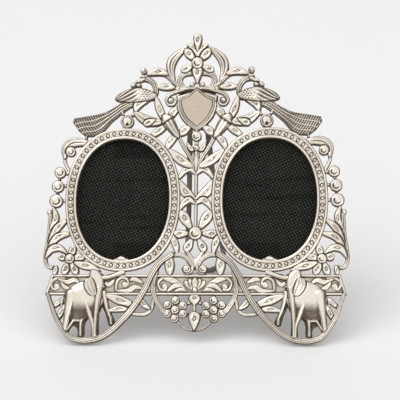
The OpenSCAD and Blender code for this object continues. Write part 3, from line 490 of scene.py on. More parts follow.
# Strokes that lie over what comes before them, with a dark cut round their edge
LAID = ("ball", "disc", "bud", "leaf", "petal", "bell", "blade", "feathers", "ribbon", "ear")


def modelling(kind, r, q, t, half, run):
    """Height from 0 to about 1 of a stroke's face: r is the offset as a share of its half
    width, q the same with its sign, t the run along it, and run that run in millimetres."""
    r = np.minimum(r, 1)
    dome = np.sqrt(1 - r ** 2)
    plump = (1 - r ** 2.6) ** 0.5
    fade = np.sqrt(np.maximum(0, np.sin(np.pi * t)))
    room = np.clip((half - 0.9) / 0.9, 0, 1)
    if kind == "stem":
        # two grooves along a thick one, one along a thinner one, and a fine one is round
        if half > 1.35:
            return plump - 0.4 * (hump(q, -0.36, 0.15) + hump(q, 0.36, 0.15))
        return plump - 0.45 * np.clip((half - 0.9) / 0.4, 0, 1) * hump(q, 0, 0.24)
    if kind == "ribbon":
        return plump - 0.42 * (hump(q, -0.36, 0.13) + hump(q, 0.36, 0.13))
    if kind == "blade":
        return plump - 0.4 * hump(q, -0.12, 0.16) * fade - 0.25 * hump(q, 0.5, 0.14) * fade
    if kind == "leaf":
        # a hollow eye in the middle, with a raised grain in it
        eye = np.hypot(q / 0.4, (t - 0.5) / 0.17)
        return plump - room * (0.6 * hump(eye, 0, 1) - 0.4 * hump(eye, 0, 0.4))
    if kind in ("petal", "bud"):
        # an eye near the tip, and a groove that runs up to it
        eye = np.hypot(q / 0.4, (t - 0.62) / 0.15)
        return (plump - room * (0.65 * hump(eye, 0, 1) - 0.4 * hump(eye, 0, 0.4))
                - 0.25 * hump(q, 0, 0.2) * np.clip(1 - t / 0.45, 0, 1))
    if kind == "bell":
        # a collar, and ridges that run down from it
        ridges = np.clip((t - 0.15) / 0.1, 0, 1) * (0.5 + 0.5 * np.cos(q * 9))
        return plump - 0.1 - 0.28 * ridges - 0.4 * hump(t, 0.2, 0.05) + 0.1 * hump(t, 0.08, 0.06)
    if kind == "feathers":
        # scales on the shoulder, which give way to quills
        quills = np.clip((t - 0.4) / 0.2, 0, 1) * (0.5 + 0.5 * np.cos(q * 11 + run))
        scales = np.clip((0.5 - t) / 0.2, 0, 1) * np.cos(run * 3.4) * np.cos(q * 9)
        return plump - 0.1 + (0.25 * scales - 0.5 * quills) * dome
    if kind == "ear":
        return 0.8 * plump + 0.2 * hump(r, 0.8, 0.2) - 0.25 * hump(r, 0.35, 0.3)
    return dome


def ball_modelling(kind, r, angle):
    """Height from 0 to about 1 of a round stroke's face: a ring with a crescent cut inside it,
    and in a disc a pit near its foot."""
    plump = np.sqrt(np.maximum(0, 1 - 0.9 * np.minimum(r, 1) ** 3))
    crescent = 0.35 + 0.65 * np.clip(0.5 - 0.8 * np.sin(angle + 0.6), 0, 1)
    face = plump - 0.5 * hump(r, 0.52, 0.15) * crescent - 0.15 * hump(r, 0, 0.3)
    if kind == "disc":
        pit = np.hypot(r * np.cos(angle), r * np.sin(angle) + 0.42)
        face = plump - 0.3 * hump(r, 0.68, 0.1) - 0.9 * hump(pit, 0, 0.2)
    return face


class Relief:
    """A casting in the making: how deep each point of the grid lies inside its outline, the
    height of its face and back there, and the patina and painted shade that the modelling adds."""

    groove = 0.5        # depth of the cut round a stroke that lies over others
    low_ground = 1.2    # how far the ground behind the strokes lies below their edges
    lifted = 0.4        # height of the back where it lies in a neighbour
    seated = 0.2        # thickness that is left where it lies on the band
    beyond = 1.3        # how far round its edge a stroke is worked out

    def __init__(self, grid):
        self.grid = grid
        self.depth = np.full(grid.shape, FAR_OUTSIDE)
        self.face = np.zeros(grid.shape)
        self.back = np.zeros(grid.shape)
        self.tarnish = np.zeros(grid.shape)

    @staticmethod
    def sloped(depth, face):
        """A stroke's height, which falls away steeply beyond its edge."""
        return np.where(depth > -1.2, face + 1.5 * np.minimum(depth, 0), 0)

    def merge(self, here, depth, face, fillet=0.5):
        """Runs a stroke into what is there, as high as the higher of the two."""
        self.depth[here] = smooth_max(self.depth[here], depth, fillet)
        self.face[here] = np.maximum(self.face[here], self.sloped(depth, face))

    def lay(self, here, depth, face, dark, fillet=0.4):
        """Lays a stroke over what is there, with a dark cut just outside its edge."""
        there = self.depth[here] > 0
        cut = hump(depth, -0.25, 0.3) * there
        share = np.clip(depth / 0.4 + 0.5, 0, 1)
        sunk = self.face[here] - self.groove * cut
        self.face[here] = np.where(there, sunk * (1 - share) + face * share,
                                   np.maximum(self.face[here], self.sloped(depth, face)))
        self.tarnish[here] = self.tarnish[here] * (1 - share) + 0.9 * cut \
            + dark * np.clip(depth / 0.3, 0, 1)
        self.depth[here] = smooth_max(self.depth[here], depth, fillet)

    def strokes(self, strokes, s, edge=None, rise=None):
        """Adds the strokes of a table: edge is their height at the edge, and rise how far the
        modelling may stand above it."""
        edge = s.edge_t if edge is None else edge
        rise = s.relief_h if rise is None else rise
        for kind, wide, squares, *lift in strokes:
            half, line = wide * square_size(s) / 2, places_of(squares, s)
            level = edge + (lift[0] if lift else 0)
            if kind in ("hide", "body", "tail"):
                getattr(self, kind)(line, level)
                continue
            shape_of = self.round_shape if kind in ("ball", "disc") else self.long_shape
            here, depth, r, shape = shape_of(kind, line, half)
            if kind == "ground":
                self.ground(here, depth, level - self.low_ground, np.clip(depth / 0.3, 0, 1), 0.5)
                continue
            # tarnish in the modelling's own hollows, apart from those at its edge
            dark = 0.95 * np.clip(0.8 - shape, 0, 0.5) * (1 - np.clip(r - 0.6, 0, 0.4) / 0.4)
            face = level + min(rise, 0.7 + 0.6 * half) * shape
            if kind in LAID:
                self.lay(here, depth, face, dark)
            elif kind in ("leg", "limb", "skull"):
                self.grow(here, depth, face)
            else:
                self.merge(here, depth, face)

    def round_shape(self, kind, middle, half):
        """Where a round stroke lies, how deep points lie inside it, their offset as a share of
        its half width, and its modelling."""
        here, (x, y) = self.grid.near(middle, half + self.beyond)
        x, y = x - middle[0, 0], y - middle[0, 1]
        depth = half - np.hypot(x, y)
        r = 1 - depth / half
        return here, depth, r, ball_modelling(kind, r, np.arctan2(y, x))

    def long_shape(self, kind, line, half):
        """The same for a stroke along a line."""
        line = smooth_line(line, STROKE_STEPS)
        here, (x, y) = self.grid.near(line, 1.3 * half + self.beyond)
        distance, t, left = nearest_on(line, x, y)
        breadth = half * width_share(kind, t)
        room = np.maximum(breadth, 0.05)
        total = np.sqrt((np.diff(line, axis=0) ** 2).sum(1)).sum()
        r = distance / room
        return here, breadth - distance, r, modelling(kind, r, left / room, t, half, t * total)

    def grow(self, here, depth, face):
        """Lets a limb grow out of what is there, bright where it clears the painted shade under
        it, with a line of painted shade along its edge.
        """
        out = np.clip((face - self.face[here]) / 0.3, 0, 1) * (depth > 0)
        cut = hump(depth, -0.1, 0.2) * np.clip((face - self.face[here]) / 0.5, 0, 1)
        self.tarnish[here] = self.tarnish[here] * (1 - out) + 0.5 * cut
        self.merge(here, depth, face, 0.3)

    def ground(self, here, depth, level, dark, fillet):
        """Flat dark ground."""
        self.merge(here, depth, np.full(depth.shape, level), fillet)
        self.tarnish[here] = np.maximum(self.tarnish[here], dark)

    def within(self, outline):
        """Points of the grid round an outline, and how deep they lie inside it."""
        here, (x, y) = self.grid.near(outline, self.beyond)
        return here, x, y, inside_depth(outline, x, y)

    def hide(self, outline, edge):
        """Ground between the legs and behind the trunk, darkened with painted shade."""
        here, _, _, depth = self.within(outline)
        self.ground(here, depth, edge - 0.5, 0.7 * np.clip(depth / 0.6, 0, 1), 0.3)

    def body(self, outline, edge):
        """Swollen body, with painted shade on its underside."""
        flank_w, swell_h = 7.5, 3
        here, _, y, depth = self.within(outline)
        swell = np.sqrt(1 - (1 - np.clip(depth / flank_w, 0, 1)) ** 2)
        swell = softened(swell, (depth > 0).astype(float), 0.9 / self.grid.step)
        low, high = outline[:, 1].min(), outline[:, 1].max()
        level = (y - low) / (high - low)
        self.merge(here, depth, edge + swell_h * swell, 0.3)
        # painted shade over the lower half of the body, fading out at its very bottom
        under = 0.7 * np.clip((0.5 - level) / 0.25, 0, 1) * np.clip(level / 0.06, 0, 1)
        self.tarnish[here] = np.where(depth > 0, under, self.tarnish[here])

    def tail(self, outline, edge):
        """Ridges that fan out from the bird's back, with hatched fields between them."""
        fields = 4
        here, x, y, depth = self.within(outline)
        # the outline starts with the upper edge, and comes back along the lower one
        upper, lower = [nearest_on(smooth_line(edge_line, OUTLINE_STEPS), x, y)[0]
                        for edge_line in (outline[:5], outline[:6:-1])]
        field = fields * upper / (upper + lower + 0.01)
        wide = (upper + lower) / fields
        ridge = abs(field - np.round(field)) * wide
        out = np.hypot(x - outline[0, 0], y - outline[0, 1])
        hatch = np.cos(out * 4.2 + 2.2 * (field % 1)) * np.clip(ridge / 0.3 - 0.6, 0, 1)
        border = hump(depth, 0.35, 0.35)
        height = 0.45 + 0.85 * np.maximum(hump(ridge, 0, 0.42), border) + 0.22 * hatch
        self.merge(here, depth, edge + height)
        self.tarnish[here] = np.maximum(self.tarnish[here], np.clip(depth / 0.3, 0, 1) * (
            0.3 - 0.22 * hatch - 0.3 * hump(ridge, 0, 0.4)))

    def both_sides(self):
        """Adds the mirror image, on a grid that lies evenly about the middle."""
        other = self.face[:, ::-1]
        self.tarnish = np.where(self.face >= other, self.tarnish, self.tarnish[:, ::-1])
        self.face = np.maximum(self.face, other)
        self.depth = smooth_max(self.depth, self.depth[:, ::-1], 0.3)

    def lap(self, other, reach, most=None):
        """Runs on under or into a neighbour for a short reach, no higher there than most.
        other is the neighbour's depth."""
        self.depth = np.minimum(self.depth, reach - other)
        under = other > 0
        if most is not None:
            self.face = np.where(under, np.minimum(self.face, most), self.face)
        self.back = np.where(under, np.minimum(self.lifted, self.face - THINNEST), self.back)

    def over(self, other, back):
        """Lies on a neighbour, with its back sunk into the neighbour's face."""
        self.back = np.where(other > 0, np.minimum(back, self.face - self.seated), self.back)


def softened(values, weight, radius):
    """Blurs values over points that weigh, by three passes of a box."""
    reach = max(1, int(round(radius)))

    def boxed(a):
        for axis in (0, 1):
            pad = [(0, 0), (0, 0)]
            pad[axis] = (reach + 1, reach)
            total = np.cumsum(np.pad(a, pad, mode="edge"), axis)
            size = a.shape[axis]
            high = np.take(total, range(2 * reach + 1, 2 * reach + 1 + size), axis)
            a = (high - np.take(total, range(size), axis)) / (2 * reach + 1)
        return a
    top, bottom = values * weight, weight
    for _ in range(3):
        top, bottom = boxed(top), boxed(bottom)
    return top / np.maximum(bottom, 1e-4)


def hollows(face, inside, step):
    """Tarnish that gathers in the hollows of a face, narrow and wide ones, from 0 to 1."""
    narrow, wide = [softened(face, inside.astype(float), reach / step) - face
                    for reach in (0.45, 1.4)]
    return np.clip(0.1 + 1.5 * narrow + 0.55 * wide, 0, 1)


def plaque_axes():
    """Right, up and out of the plaque's face, and the point at its feet, from the joints."""
    joints = {j["name"]: j for j in frame["joints"]}
    out = Vector(joints["right_top_button_turn"]["axis"]).normalized()
    out = -out if out.y > 0 else out
    up = Vector((0, out.z, -out.y))
    group = bpy.context.scene.photo_frame_sizes
    origin = Vector(joints["strut_hinge"]["pos_m"]) - up * group.hinge_level \
        + out * group.hinge_off
    return np.array([(1, 0, 0), up, out]), np.array(origin)


def stand(points):
    """From millimetres on the flat plaque to metres where it stands, none below the floor."""
    axes, origin = plaque_axes()
    placed = points @ axes * MM + origin
    placed[:, 2] = np.maximum(placed[:, 2], 0)
    return placed


# Tarnish of a casting's back, and painted shade on its walls, at the face and at the back
BACK_TARNISH = 0.42
PAINTED_WALL_SHADE = (0.75, 1)


def cells_inside(inside):
    """The grid's cells whose corners are all inside: the points that they use, the cells as
    faces of four, and the start and end of each edge on their outline."""
    cells = inside[:-1, :-1] & inside[1:, :-1] & inside[:-1, 1:] & inside[1:, 1:]
    used = np.zeros(inside.shape, bool)
    for rows in (slice(0, -1), slice(1, None)):
        for columns in (slice(0, -1), slice(1, None)):
            used[rows, columns] |= cells
    index = np.full(inside.shape, -1)
    index[used] = np.arange(used.sum())
    framed = np.pad(cells, 1)
    beyond = framed[:-2, 1:-1], framed[1:-1, 2:], framed[2:, 1:-1], framed[1:-1, :-2]
    corners = (0, 0), (0, 1), (1, 1), (1, 0)
    start, end = [], []
    for other, (a, b), (c, d) in zip(beyond, corners, corners[1:] + corners[:1]):
        i, j = np.nonzero(cells & ~other)
        start.append(index[i + a, j + b])
        end.append(index[i + c, j + d])
    i, j = np.nonzero(cells)
    quads = np.stack([index[i + a, j + b] for a, b in corners], 1)
    return used, quads, np.concatenate(start), np.concatenate(end)


def relief_sheets(relief, mirrored=False):
    """Face, back and walls of a casting, as points, faces of four, and patina and painted shade.
    """
    grid, depth, face = relief.grid, relief.depth, relief.face
    inside = depth > 0
    used, quads, start, end = cells_inside(inside)
    x, y = np.meshgrid(grid.x, grid.y)
    x, y, z, low = x[used], y[used], face[used].copy(), relief.back[used]
    # points of the edge move out to the outline, and take the face's height there
    rim = np.unique(start)
    at = tuple(places[rim] for places in np.nonzero(used))
    slope_y, slope_x = np.gradient(depth, grid.step)
    steep = np.maximum(slope_x[at] ** 2 + slope_y[at] ** 2, 0.25)
    move = np.minimum(depth[at] / steep, 1.2 * grid.step)
    x[rim] -= move * slope_x[at]
    y[rim] -= move * slope_y[at]
    z[rim] = grid.height(face, x[rim], y[rim])
    z = np.maximum(z, low + THINNEST)

    # painted shade along the outline, where the face falls away at the edge
    painted_edge_shade = 0.95 * np.clip(1 - depth / 0.6, 0, 1)
    tarnish = np.clip(hollows(face, inside, grid.step) + relief.tarnish + painted_edge_shade, 0, 1)
    n = len(rim)
    order = np.full(len(x), -1)
    order[rim] = np.arange(n)
    a, b = order[start], order[end]
    top, bottom = np.stack([x, y, z], 1), np.stack([x, y, low], 1)
    wall = np.concatenate([top[rim], bottom[rim]])
    sheets = [(top, quads, tarnish[used]),
              (bottom, quads[:, ::-1], np.full(len(x), BACK_TARNISH)),
              (wall, np.stack([a + n, b + n, b, a], 1), np.repeat(PAINTED_WALL_SHADE, n))]
    if mirrored:
        sheets = [(p * (-1, 1, 1), f[:, ::-1], d) for p, f, d in sheets]
    return sheets


def piece_from(name, sheets, material, node):
    """One mesh piece of several sheets, each with its own points, in place of a CAD node."""
    points = np.concatenate([p for p, f, d in sheets])
    starts = np.cumsum([0] + [len(p) for p, f, d in sheets])
    quads = np.concatenate([f + start for (p, f, d), start in zip(sheets, starts)])
    tarnish = np.concatenate([d for p, f, d in sheets])
    mesh = bpy.data.meshes.new(name)
    mesh.vertices.add(len(points))
    mesh.vertices.foreach_set("co", stand(points).astype(np.float32).ravel())
    mesh.loops.add(quads.size)
    mesh.loops.foreach_set("vertex_index", quads.astype(np.int32).ravel())
    mesh.polygons.add(len(quads))
    mesh.polygons.foreach_set("loop_start", np.arange(0, quads.size, 4, dtype=np.int32))
    mesh.update(calc_edges=True)
    mesh.validate()
    # patina in the hollows and painted shade on walls, edges and undersides, in one attribute
    attribute = mesh.attributes.new("tarnish", "FLOAT", "POINT")
    attribute.data.foreach_set("value", tarnish.astype(np.float32))
    mesh.shade_smooth()
    mesh.materials.append(material)
    piece = bpy.data.objects.new(name, mesh)
    bpy.context.scene.collection.objects.link(piece)
    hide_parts(node)
    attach(piece, "plaque")


# What each casting is made of: its strokes, those of its middle where it isn't one of a
# pair, the neighbours that it runs on into or under, and its finish
CASTINGS = {
    "crest": ((CREST_SIDE, CREST_MIDDLE), ("shield",), "cast_silver"),
    "branch": ((BRANCH,), ("shield", "crest"), "cast_silver"),
    "peacock": ((PEACOCK,), ("branch", "bell_spray", "rims"), "peacock_silver"),
    "bell_spray": ((BELL_SPRAY,), ("branch", "shield", "centre_column", "rims"), "cast_silver"),
    "centre_column": ((COLUMN_SIDE, COLUMN_MIDDLE), ("shield", "rosette", "rims"),
                      "cast_silver"),
    "rosette": ((ROSETTE_SIDE, ROSETTE_MIDDLE), ("rims", "band"), "cast_silver"),
    "side_spray": ((SIDE_SPRAY,), ("peacock", "rims", "band"), "cast_silver"),
    "ribbon_foot": ((RIBBON,), ("rosette", "rims"), "cast_silver"),
    "elephant": ((ELEPHANT,), ("ribbon_foot", "side_spray", "rims"), "elephant_silver"),
    "pendant": ((PENDANT_SIDE, PENDANT_MIDDLE), ("ribbon_foot", "band"), "cast_silver")}
ON_THE_BAND = ("ribbon_foot", "elephant")

# In millimetres: how far castings run into each other, and how far under a shield, rim or
# band, with how high their faces may be there
SEAM = 0.7
LAPS = {"shield": (1.3, 2.8), "rims": (1.4, 2.2), "band": (1.3, 2)}
BACK_ON_BAND = 1    # height of the backs of those that lie on the band
MARGIN = 1.5        # what the grid has above and below the plaque
SIDE_MARGIN = 2     # and at its sides
SHIELD_MARGIN = 4   # how far round the shield its depth is worked out


class Castings:
    """The castings' reliefs, all on one grid, which is worked out once for their joins."""

    def __init__(self, s):
        self.s = s
        reach = math.ceil((s.half_w + SIDE_MARGIN) / s.relief_step) * s.relief_step
        self.grid = Grid(-reach, reach, -MARGIN, s.top + MARGIN, s.relief_step)
        x, y = np.meshgrid(self.grid.x, self.grid.y)
        outline = shield_shape(SHIELD_TOP, SHIELD_SIDE, s)
        here, around = self.grid.near(outline, SHIELD_MARGIN)
        shield = np.full(self.grid.shape, FAR_OUTSIDE)
        shield[here] = inside_depth(outline, *around)
        self.depths = {
            "rims": oval_depth(abs(x) - s.window_x, y - s.window_y, s.rim_outer),
            "band": inside_depth(mirrored_outline(places_of(BAND_END, s)), x, y),
            "shield": shield}

    def blank(self, name):
        """A casting before it is joined to its neighbours."""
        strokes, *middle = CASTINGS[name][0]
        relief = Relief(self.grid)
        relief.strokes(strokes, self.s)
        if middle:
            relief.both_sides()
            relief.strokes(*middle, self.s)
        return relief

    def depth(self, name):
        """How deep the grid's points lie inside a casting's own outline."""
        if name not in self.depths:
            self.depths[name] = self.blank(name).depth
        return self.depths[name]

    def join(self, relief, name):
        """Fits a casting to its neighbours, those of a middle one on both sides."""
        tables, neighbours, _ = CASTINGS[name]
        for neighbour in neighbours:
            depth = self.depth(neighbour)
            if len(tables) > 1:
                depth = np.maximum(depth, depth[:, ::-1])
            relief.lap(depth, *LAPS.get(neighbour, (SEAM,)))
        if name in ON_THE_BAND:
            relief.over(self.depth("band"), BACK_ON_BAND)


made = {}    # castings and silvers, each kept under the sizes or colours that it was made with


def castings(context):
    """The castings for the sizes that are set now."""
    s = sizes_of(context)
    if str(s) not in made:
        made[str(s)] = Castings(s)
    return made[str(s)]


class Shade:
    """A value in a material's nodes. Python's operators on it add Math nodes."""

    def __init__(self, tree, socket):
        self.tree, self.socket = tree, socket

    def node(self, kind, settings=None, values=None, output=0):
        """Makes any node from its settings, and the values or links of its sockets."""
        made_node = self.tree.nodes.new("ShaderNode" + kind)
        for key, value in (settings or {}).items():
            setattr(made_node, key, value)
        for key, value in (values or {}).items():
            into = made_node.inputs[key]
            if isinstance(value, Shade):
                self.tree.links.new(value.socket, into)
            elif hasattr(into.default_value, "__len__") and len(into.default_value) == 4:
                into.default_value = (*value, 1)[:4]
            else:
                into.default_value = value
        return Shade(self.tree, made_node.outputs[output] if made_node.outputs else None)

    def maths(self, operation, *values):
        return self.node("Math", {"operation": operation}, dict(enumerate(values)))

    def __add__(self, other):
        return self.maths("ADD", self, other)

    def __sub__(self, other):
        return self.maths("SUBTRACT", self, other)

    def __rsub__(self, other):
        return self.maths("SUBTRACT", other, self)

    def __mul__(self, other):
        return self.maths("MULTIPLY", self, other)

    __radd__, __rmul__ = __add__, __mul__

    def within(self, low, high):
        """0 up to low, 1 from high, and smooth between them."""
        return self.node("MapRange", {"interpolation_type": "SMOOTHSTEP"},
                         {"Value": self, "From Min": low, "From Max": high})

    def waves(self):
        return self.maths("SINE", self)

    def mix(self, first, second):
        """A colour between two, with this value as its share of the second."""
        return self.node("Mix", {"data_type": "RGBA"}, {0: self, 6: first, 7: second}, 2)


def finish(name):
    """A new material, and the maker for its nodes."""
    material = bpy.data.materials.new(name)
    material.use_nodes = True
    material.node_tree.nodes.clear()
    return material, Shade(material.node_tree, None)


def surfaced(material, maker, **sockets):
    """Ends a material with its surface, whose sockets are given with _ for each space."""
    surface = maker.node("BsdfPrincipled", {}, {
        key.replace("_", " "): value for key, value in sockets.items()})
    maker.node("OutputMaterial", {}, {"Surface": surface})
    return material


def grain(maker, height, strength, distance):
    return maker.node("Bump", {}, {"Strength": strength, "Distance": distance,
                                   "Height": height})


def places(maker, turned=0, scale=(1, 1, 1)):
    """Object coordinates in metres, turned about X and scaled."""
    spot = maker.node("TexCoord", {}, {}, 3)
    return maker.node("Mapping", {}, {"Vector": spot, "Rotation": (turned, 0, 0),
                                      "Scale": scale})


def noise(maker, spot, scale, detail=2.0, roughness=0.5):
    return maker.node("TexNoise", {}, {"Vector": spot, "Scale": scale, "Detail": detail,
                                       "Roughness": roughness})


def silver_finish(name, colours, polish, tone, patina_and_shade_weight):
    """Silver darkened by an attribute of patina in its hollows and painted shade on its walls,
    edges and undersides. polish is the roughness of its bright faces, tone an even darkening
    over all of it, and the last how strongly that attribute darkens it."""
    material, maker = finish(name)
    spot = places(maker)
    clouds = noise(maker, spot, 55, 3)
    specks = noise(maker, spot, 620, 3, 0.6)
    scuffs = noise(maker, places(maker, 0, (1, 0.35, 0.35)), 1500, 2)
    patina_and_shade = maker.node("Attribute", {"attribute_name": "tarnish"}, {}, 2)
    dark = patina_and_shade * patina_and_shade_weight + (clouds - 0.5) * 0.35 + (specks - 0.5) * 0.3 + tone
    dark = dark.within(0.02, 0.72)
    bright = tuple(colours.panel if name == "panel_silver" else colours.silver)
    dimmer = tuple(c * share for c, share in zip(bright, (0.9, 0.87, 0.82)))
    veil = (clouds * 0.6 + specks * 0.4).within(0.35, 0.75)
    return surfaced(
        material, maker, Base_Color=dark.mix(veil.mix(bright, dimmer), tuple(colours.patina)),
        Metallic=1 - dark * 0.75, Roughness=dark * 0.32 + specks * 0.12 + (polish - 0.04),
        Normal=grain(maker, specks * 0.7 + scuffs * 0.3, 0.25, 0.00006))


def aged_finish(name, tint, patina, polish, scale=1.0):
    """Bare metal of the back, without modelled hollows: clouded, scuffed and a little dull."""
    material, maker = finish(name)
    spot = places(maker)
    clouds = noise(maker, spot, 90 * scale, 4, 0.6)
    specks = noise(maker, spot, 900 * scale, 3, 0.6)
    brushed = noise(maker, places(maker, 0, (0.06, 1, 1)), 2600 * scale, 2)
    dark = (clouds * 0.7 + specks * 0.3).within(0.4, 0.72)
    return surfaced(
        material, maker, Base_Color=dark.mix(tuple(tint), tuple(patina)),
        Metallic=1 - dark * 0.35, Roughness=dark * 0.22 + brushed * 0.12 + polish,
        Normal=grain(maker, brushed * 0.6 + specks * 0.4, 0.3, 0.00005))


def cloth_finish(name, colours, lean):
    """Black woven cloth: rows of light points on a slant, with soft folds of tone."""
    pitch, slant = 0.00185, math.radians(27)
    material, maker = finish(name)
    flat = places(maker, lean)
    across = maker.node("SeparateXYZ", {}, {"Vector": flat})
    up = Shade(maker.tree, across.socket.node.outputs[2])
    turn = 2 * math.pi / pitch
    first = across * (turn * math.cos(slant)) + up * (turn * math.sin(slant))
    second = up * (turn * math.cos(slant)) - across * (turn * math.sin(slant))
    points = (first.waves() * 0.5 + 0.5) * (second.waves() * 0.5 + 0.5)
    threads = ((first * 4).waves() * 0.5 + (second * 4).waves() * 0.5) * 0.5 + 0.5
    fuzz = noise(maker, flat, 900, 2)
    clouds = noise(maker, flat, 40, 2)
    light = points * (0.4 + fuzz) + threads * 0.06 + (clouds - 0.5) * 0.15
    return surfaced(
        material, maker, Base_Color=light.mix(tuple(colours.cloth), tuple(colours.thread)),
        Roughness=0.82 + fuzz * 0.15, Specular_IOR_Level=0.1, Sheen_Weight=0.05,
        Sheen_Roughness=0.5, Normal=grain(maker, points + threads * 0.3, 0.25, 0.0003))


def glass_finish(name):
    """Thin clean glass with a faint film of dust."""
    clean, dusty = (0.02, 0.024, 0.023), (0.1, 0.1, 0.095)
    material, maker = finish(name)
    dust = noise(maker, places(maker), 300, 4, 0.65).within(0.45, 0.8)
    return surfaced(material, maker, Base_Color=dust.mix(clean, dusty), Specular_IOR_Level=0.1,
                    Roughness=0.05 + dust * 0.2, Alpha=0.04 + dust * 0.03)


def paper_finish(name, colours):
    """Pale matt paper of the stage."""
    material, maker = finish(name)
    tone = noise(maker, places(maker), 3, 2)
    tooth = noise(maker, places(maker), 900, 2)
    pale = tuple(colours.floor)
    return surfaced(
        material, maker, Base_Color=tone.mix(pale, tuple(c * 0.985 for c in pale)),
        Roughness=0.85 + tooth * 0.1, Specular_IOR_Level=0.15,
        Normal=grain(maker, tooth, 0.04, 0.0001))


# Roughness of a finish's bright faces, an even darkening over all of it, and how strongly
# its patina and painted shade darken it
SILVERS = {"cast_silver": (0.17, 0, 1), "peacock_silver": (0.2, 0.1, 1),
           "elephant_silver": (0.12, -0.1, 1), "rim_silver": (0.13, 0.02, 1),
           "shield_silver": (0.3, 0.14, 1), "panel_silver": (0.42, -0.1, 0.5),
           "band_silver": (0.22, 0.02, 1)}


def silver(name):
    """One of the SILVERS, in the colours that are set now."""
    colours = bpy.context.scene.photo_frame_colours
    key = (name, *colours.silver, *colours.patina, *colours.panel)
    if key not in made:
        made[key] = silver_finish(name, colours, *SILVERS[name])
    return made[key]


UNDOABLE = {"REGISTER", "UNDO"}


def casting(name, relief, finish_name, paired=False):
    """Makes a casting from its relief, or with paired one for each side."""
    for side in ("right_", "left_") if paired else ("",):
        piece_from(f"{side}{name}_casting", relief_sheets(relief, side == "left_"),
                   silver(finish_name), side + name)


class CastingOperator:
    """What the operators of the openwork castings share."""

    def make(self, context, *names):
        """Makes castings by their names in CASTINGS."""
        work = castings(context)
        for name in names:
            tables, _, finish_name = CASTINGS[name]
            relief = work.blank(name)
            if name == "elephant":
                self.add_body(relief, work.s)
            work.join(relief, name)
            casting(name, relief, finish_name, len(tables) == 1)
        return {"FINISHED"}

    @staticmethod
    def add_body(relief, s):
        """Body, head and legs over an elephant's outline, none of them far beyond it."""
        outline = relief.depth.copy()
        relief.strokes(ELEPHANT_BODY, s)
        relief.depth = np.minimum(smooth_max(outline, relief.depth, 0.2), outline + 0.7)


class CrestOperator(CastingOperator, bpy.types.Operator):
    """Makes the pierced crest and the leafy branches beside the shield"""
    bl_idname = "photo_frame.crest"
    bl_label = "Crest and branches"
    bl_options = UNDOABLE

    def execute(self, context):
        return self.make(context, "crest", "branch")


class ShieldOperator(bpy.types.Operator):
    """Makes the shield's border and its bare raised panel"""
    bl_idname = "photo_frame.shield"
    bl_label = "Shield"
    bl_options = UNDOABLE

    def execute(self, context):
        s = sizes_of(context)
        edge_w, edge_drop, panel_edge_w, seat, margin = 1.3, 1.2, 0.6, 0.2, 1
        ridge_off, ridge_h, groove_off, groove_h = 0.6, 0.5, 1.6, 0.45
        outline = shield_shape(SHIELD_TOP, SHIELD_SIDE, s)
        low, high = outline.min(0) - margin, outline.max(0) + margin
        step = s.relief_step * 0.6
        reach = math.ceil(high[0] / step) * step
        grid = Grid(-reach, reach, low[1], high[1], step)
        x, y = np.meshgrid(grid.x, grid.y)
        border, panel = Relief(grid), Relief(grid)
        border.depth = inside_depth(outline, x, y)
        panel.depth = inside_depth(shield_shape(PANEL_TOP, PANEL_SIDE, s), x, y)
        within = panel.depth
        bevel = np.clip(border.depth / edge_w, 0, 1)
        # a fine ridge and a groove round the panel's seat, which is sunk
        border.face = s.shield_t - edge_drop * (1 - bevel) ** 2 \
            + ridge_h * hump(within, -ridge_off, 0.28) - groove_h * hump(within, -groove_off, 0.5)
        border.face = np.where(within > -seat, s.shield_t - s.panel_h, border.face)
        bevel = np.clip(within / panel_edge_w, 0, 1)
        panel.face = s.shield_t + 0.5 * s.panel_h - 0.5 * (1 - bevel) ** 2
        panel.back = np.full(grid.shape, s.shield_t - s.panel_h - seat)
        casting("shield_border", border, "shield_silver")
        casting("shield_panel", panel, "panel_silver")
        return {"FINISHED"}


class PeacockOperator(CastingOperator, bpy.types.Operator):
    """Makes the two peacocks with their long ribbed tails"""
    bl_idname = "photo_frame.peacocks"
    bl_label = "Peacocks"
    bl_options = UNDOABLE

    def execute(self, context):
        return self.make(context, "peacock")


class BellSprayOperator(CastingOperator, bpy.types.Operator):
    """Makes the two sprays of leaves with a bell flower"""
    bl_idname = "photo_frame.bell_sprays"
    bl_label = "Bell sprays"
    bl_options = UNDOABLE

    def execute(self, context):
        return self.make(context, "bell_spray")


class ColumnOperator(CastingOperator, bpy.types.Operator):
    """Makes the column of leaves between the windows and the six-petal flower under it"""
    bl_idname = "photo_frame.column"
    bl_label = "Column and rosette"
    bl_options = UNDOABLE

    def execute(self, context):
        return self.make(context, "centre_column", "rosette")


class SideSprayOperator(CastingOperator, bpy.types.Operator):
    """Makes the outer sprays of leaves, balls and a flower"""
    bl_idname = "photo_frame.side_sprays"
    bl_label = "Side sprays"
    bl_options = UNDOABLE

    def execute(self, context):
        return self.make(context, "side_spray")


class RibbonOperator(CastingOperator, bpy.types.Operator):
    """Makes the ribbons that cross the band and curl into the feet"""
    bl_idname = "photo_frame.ribbon_feet"
    bl_label = "Ribbon feet"
    bl_options = UNDOABLE

    def execute(self, context):
        return self.make(context, "ribbon_foot")


class ElephantOperator(CastingOperator, bpy.types.Operator):
    """Makes the two elephants that stand inside the ribbons"""
    bl_idname = "photo_frame.elephants"
    bl_label = "Elephants"
    bl_options = UNDOABLE

    def execute(self, context):
        return self.make(context, "elephant")


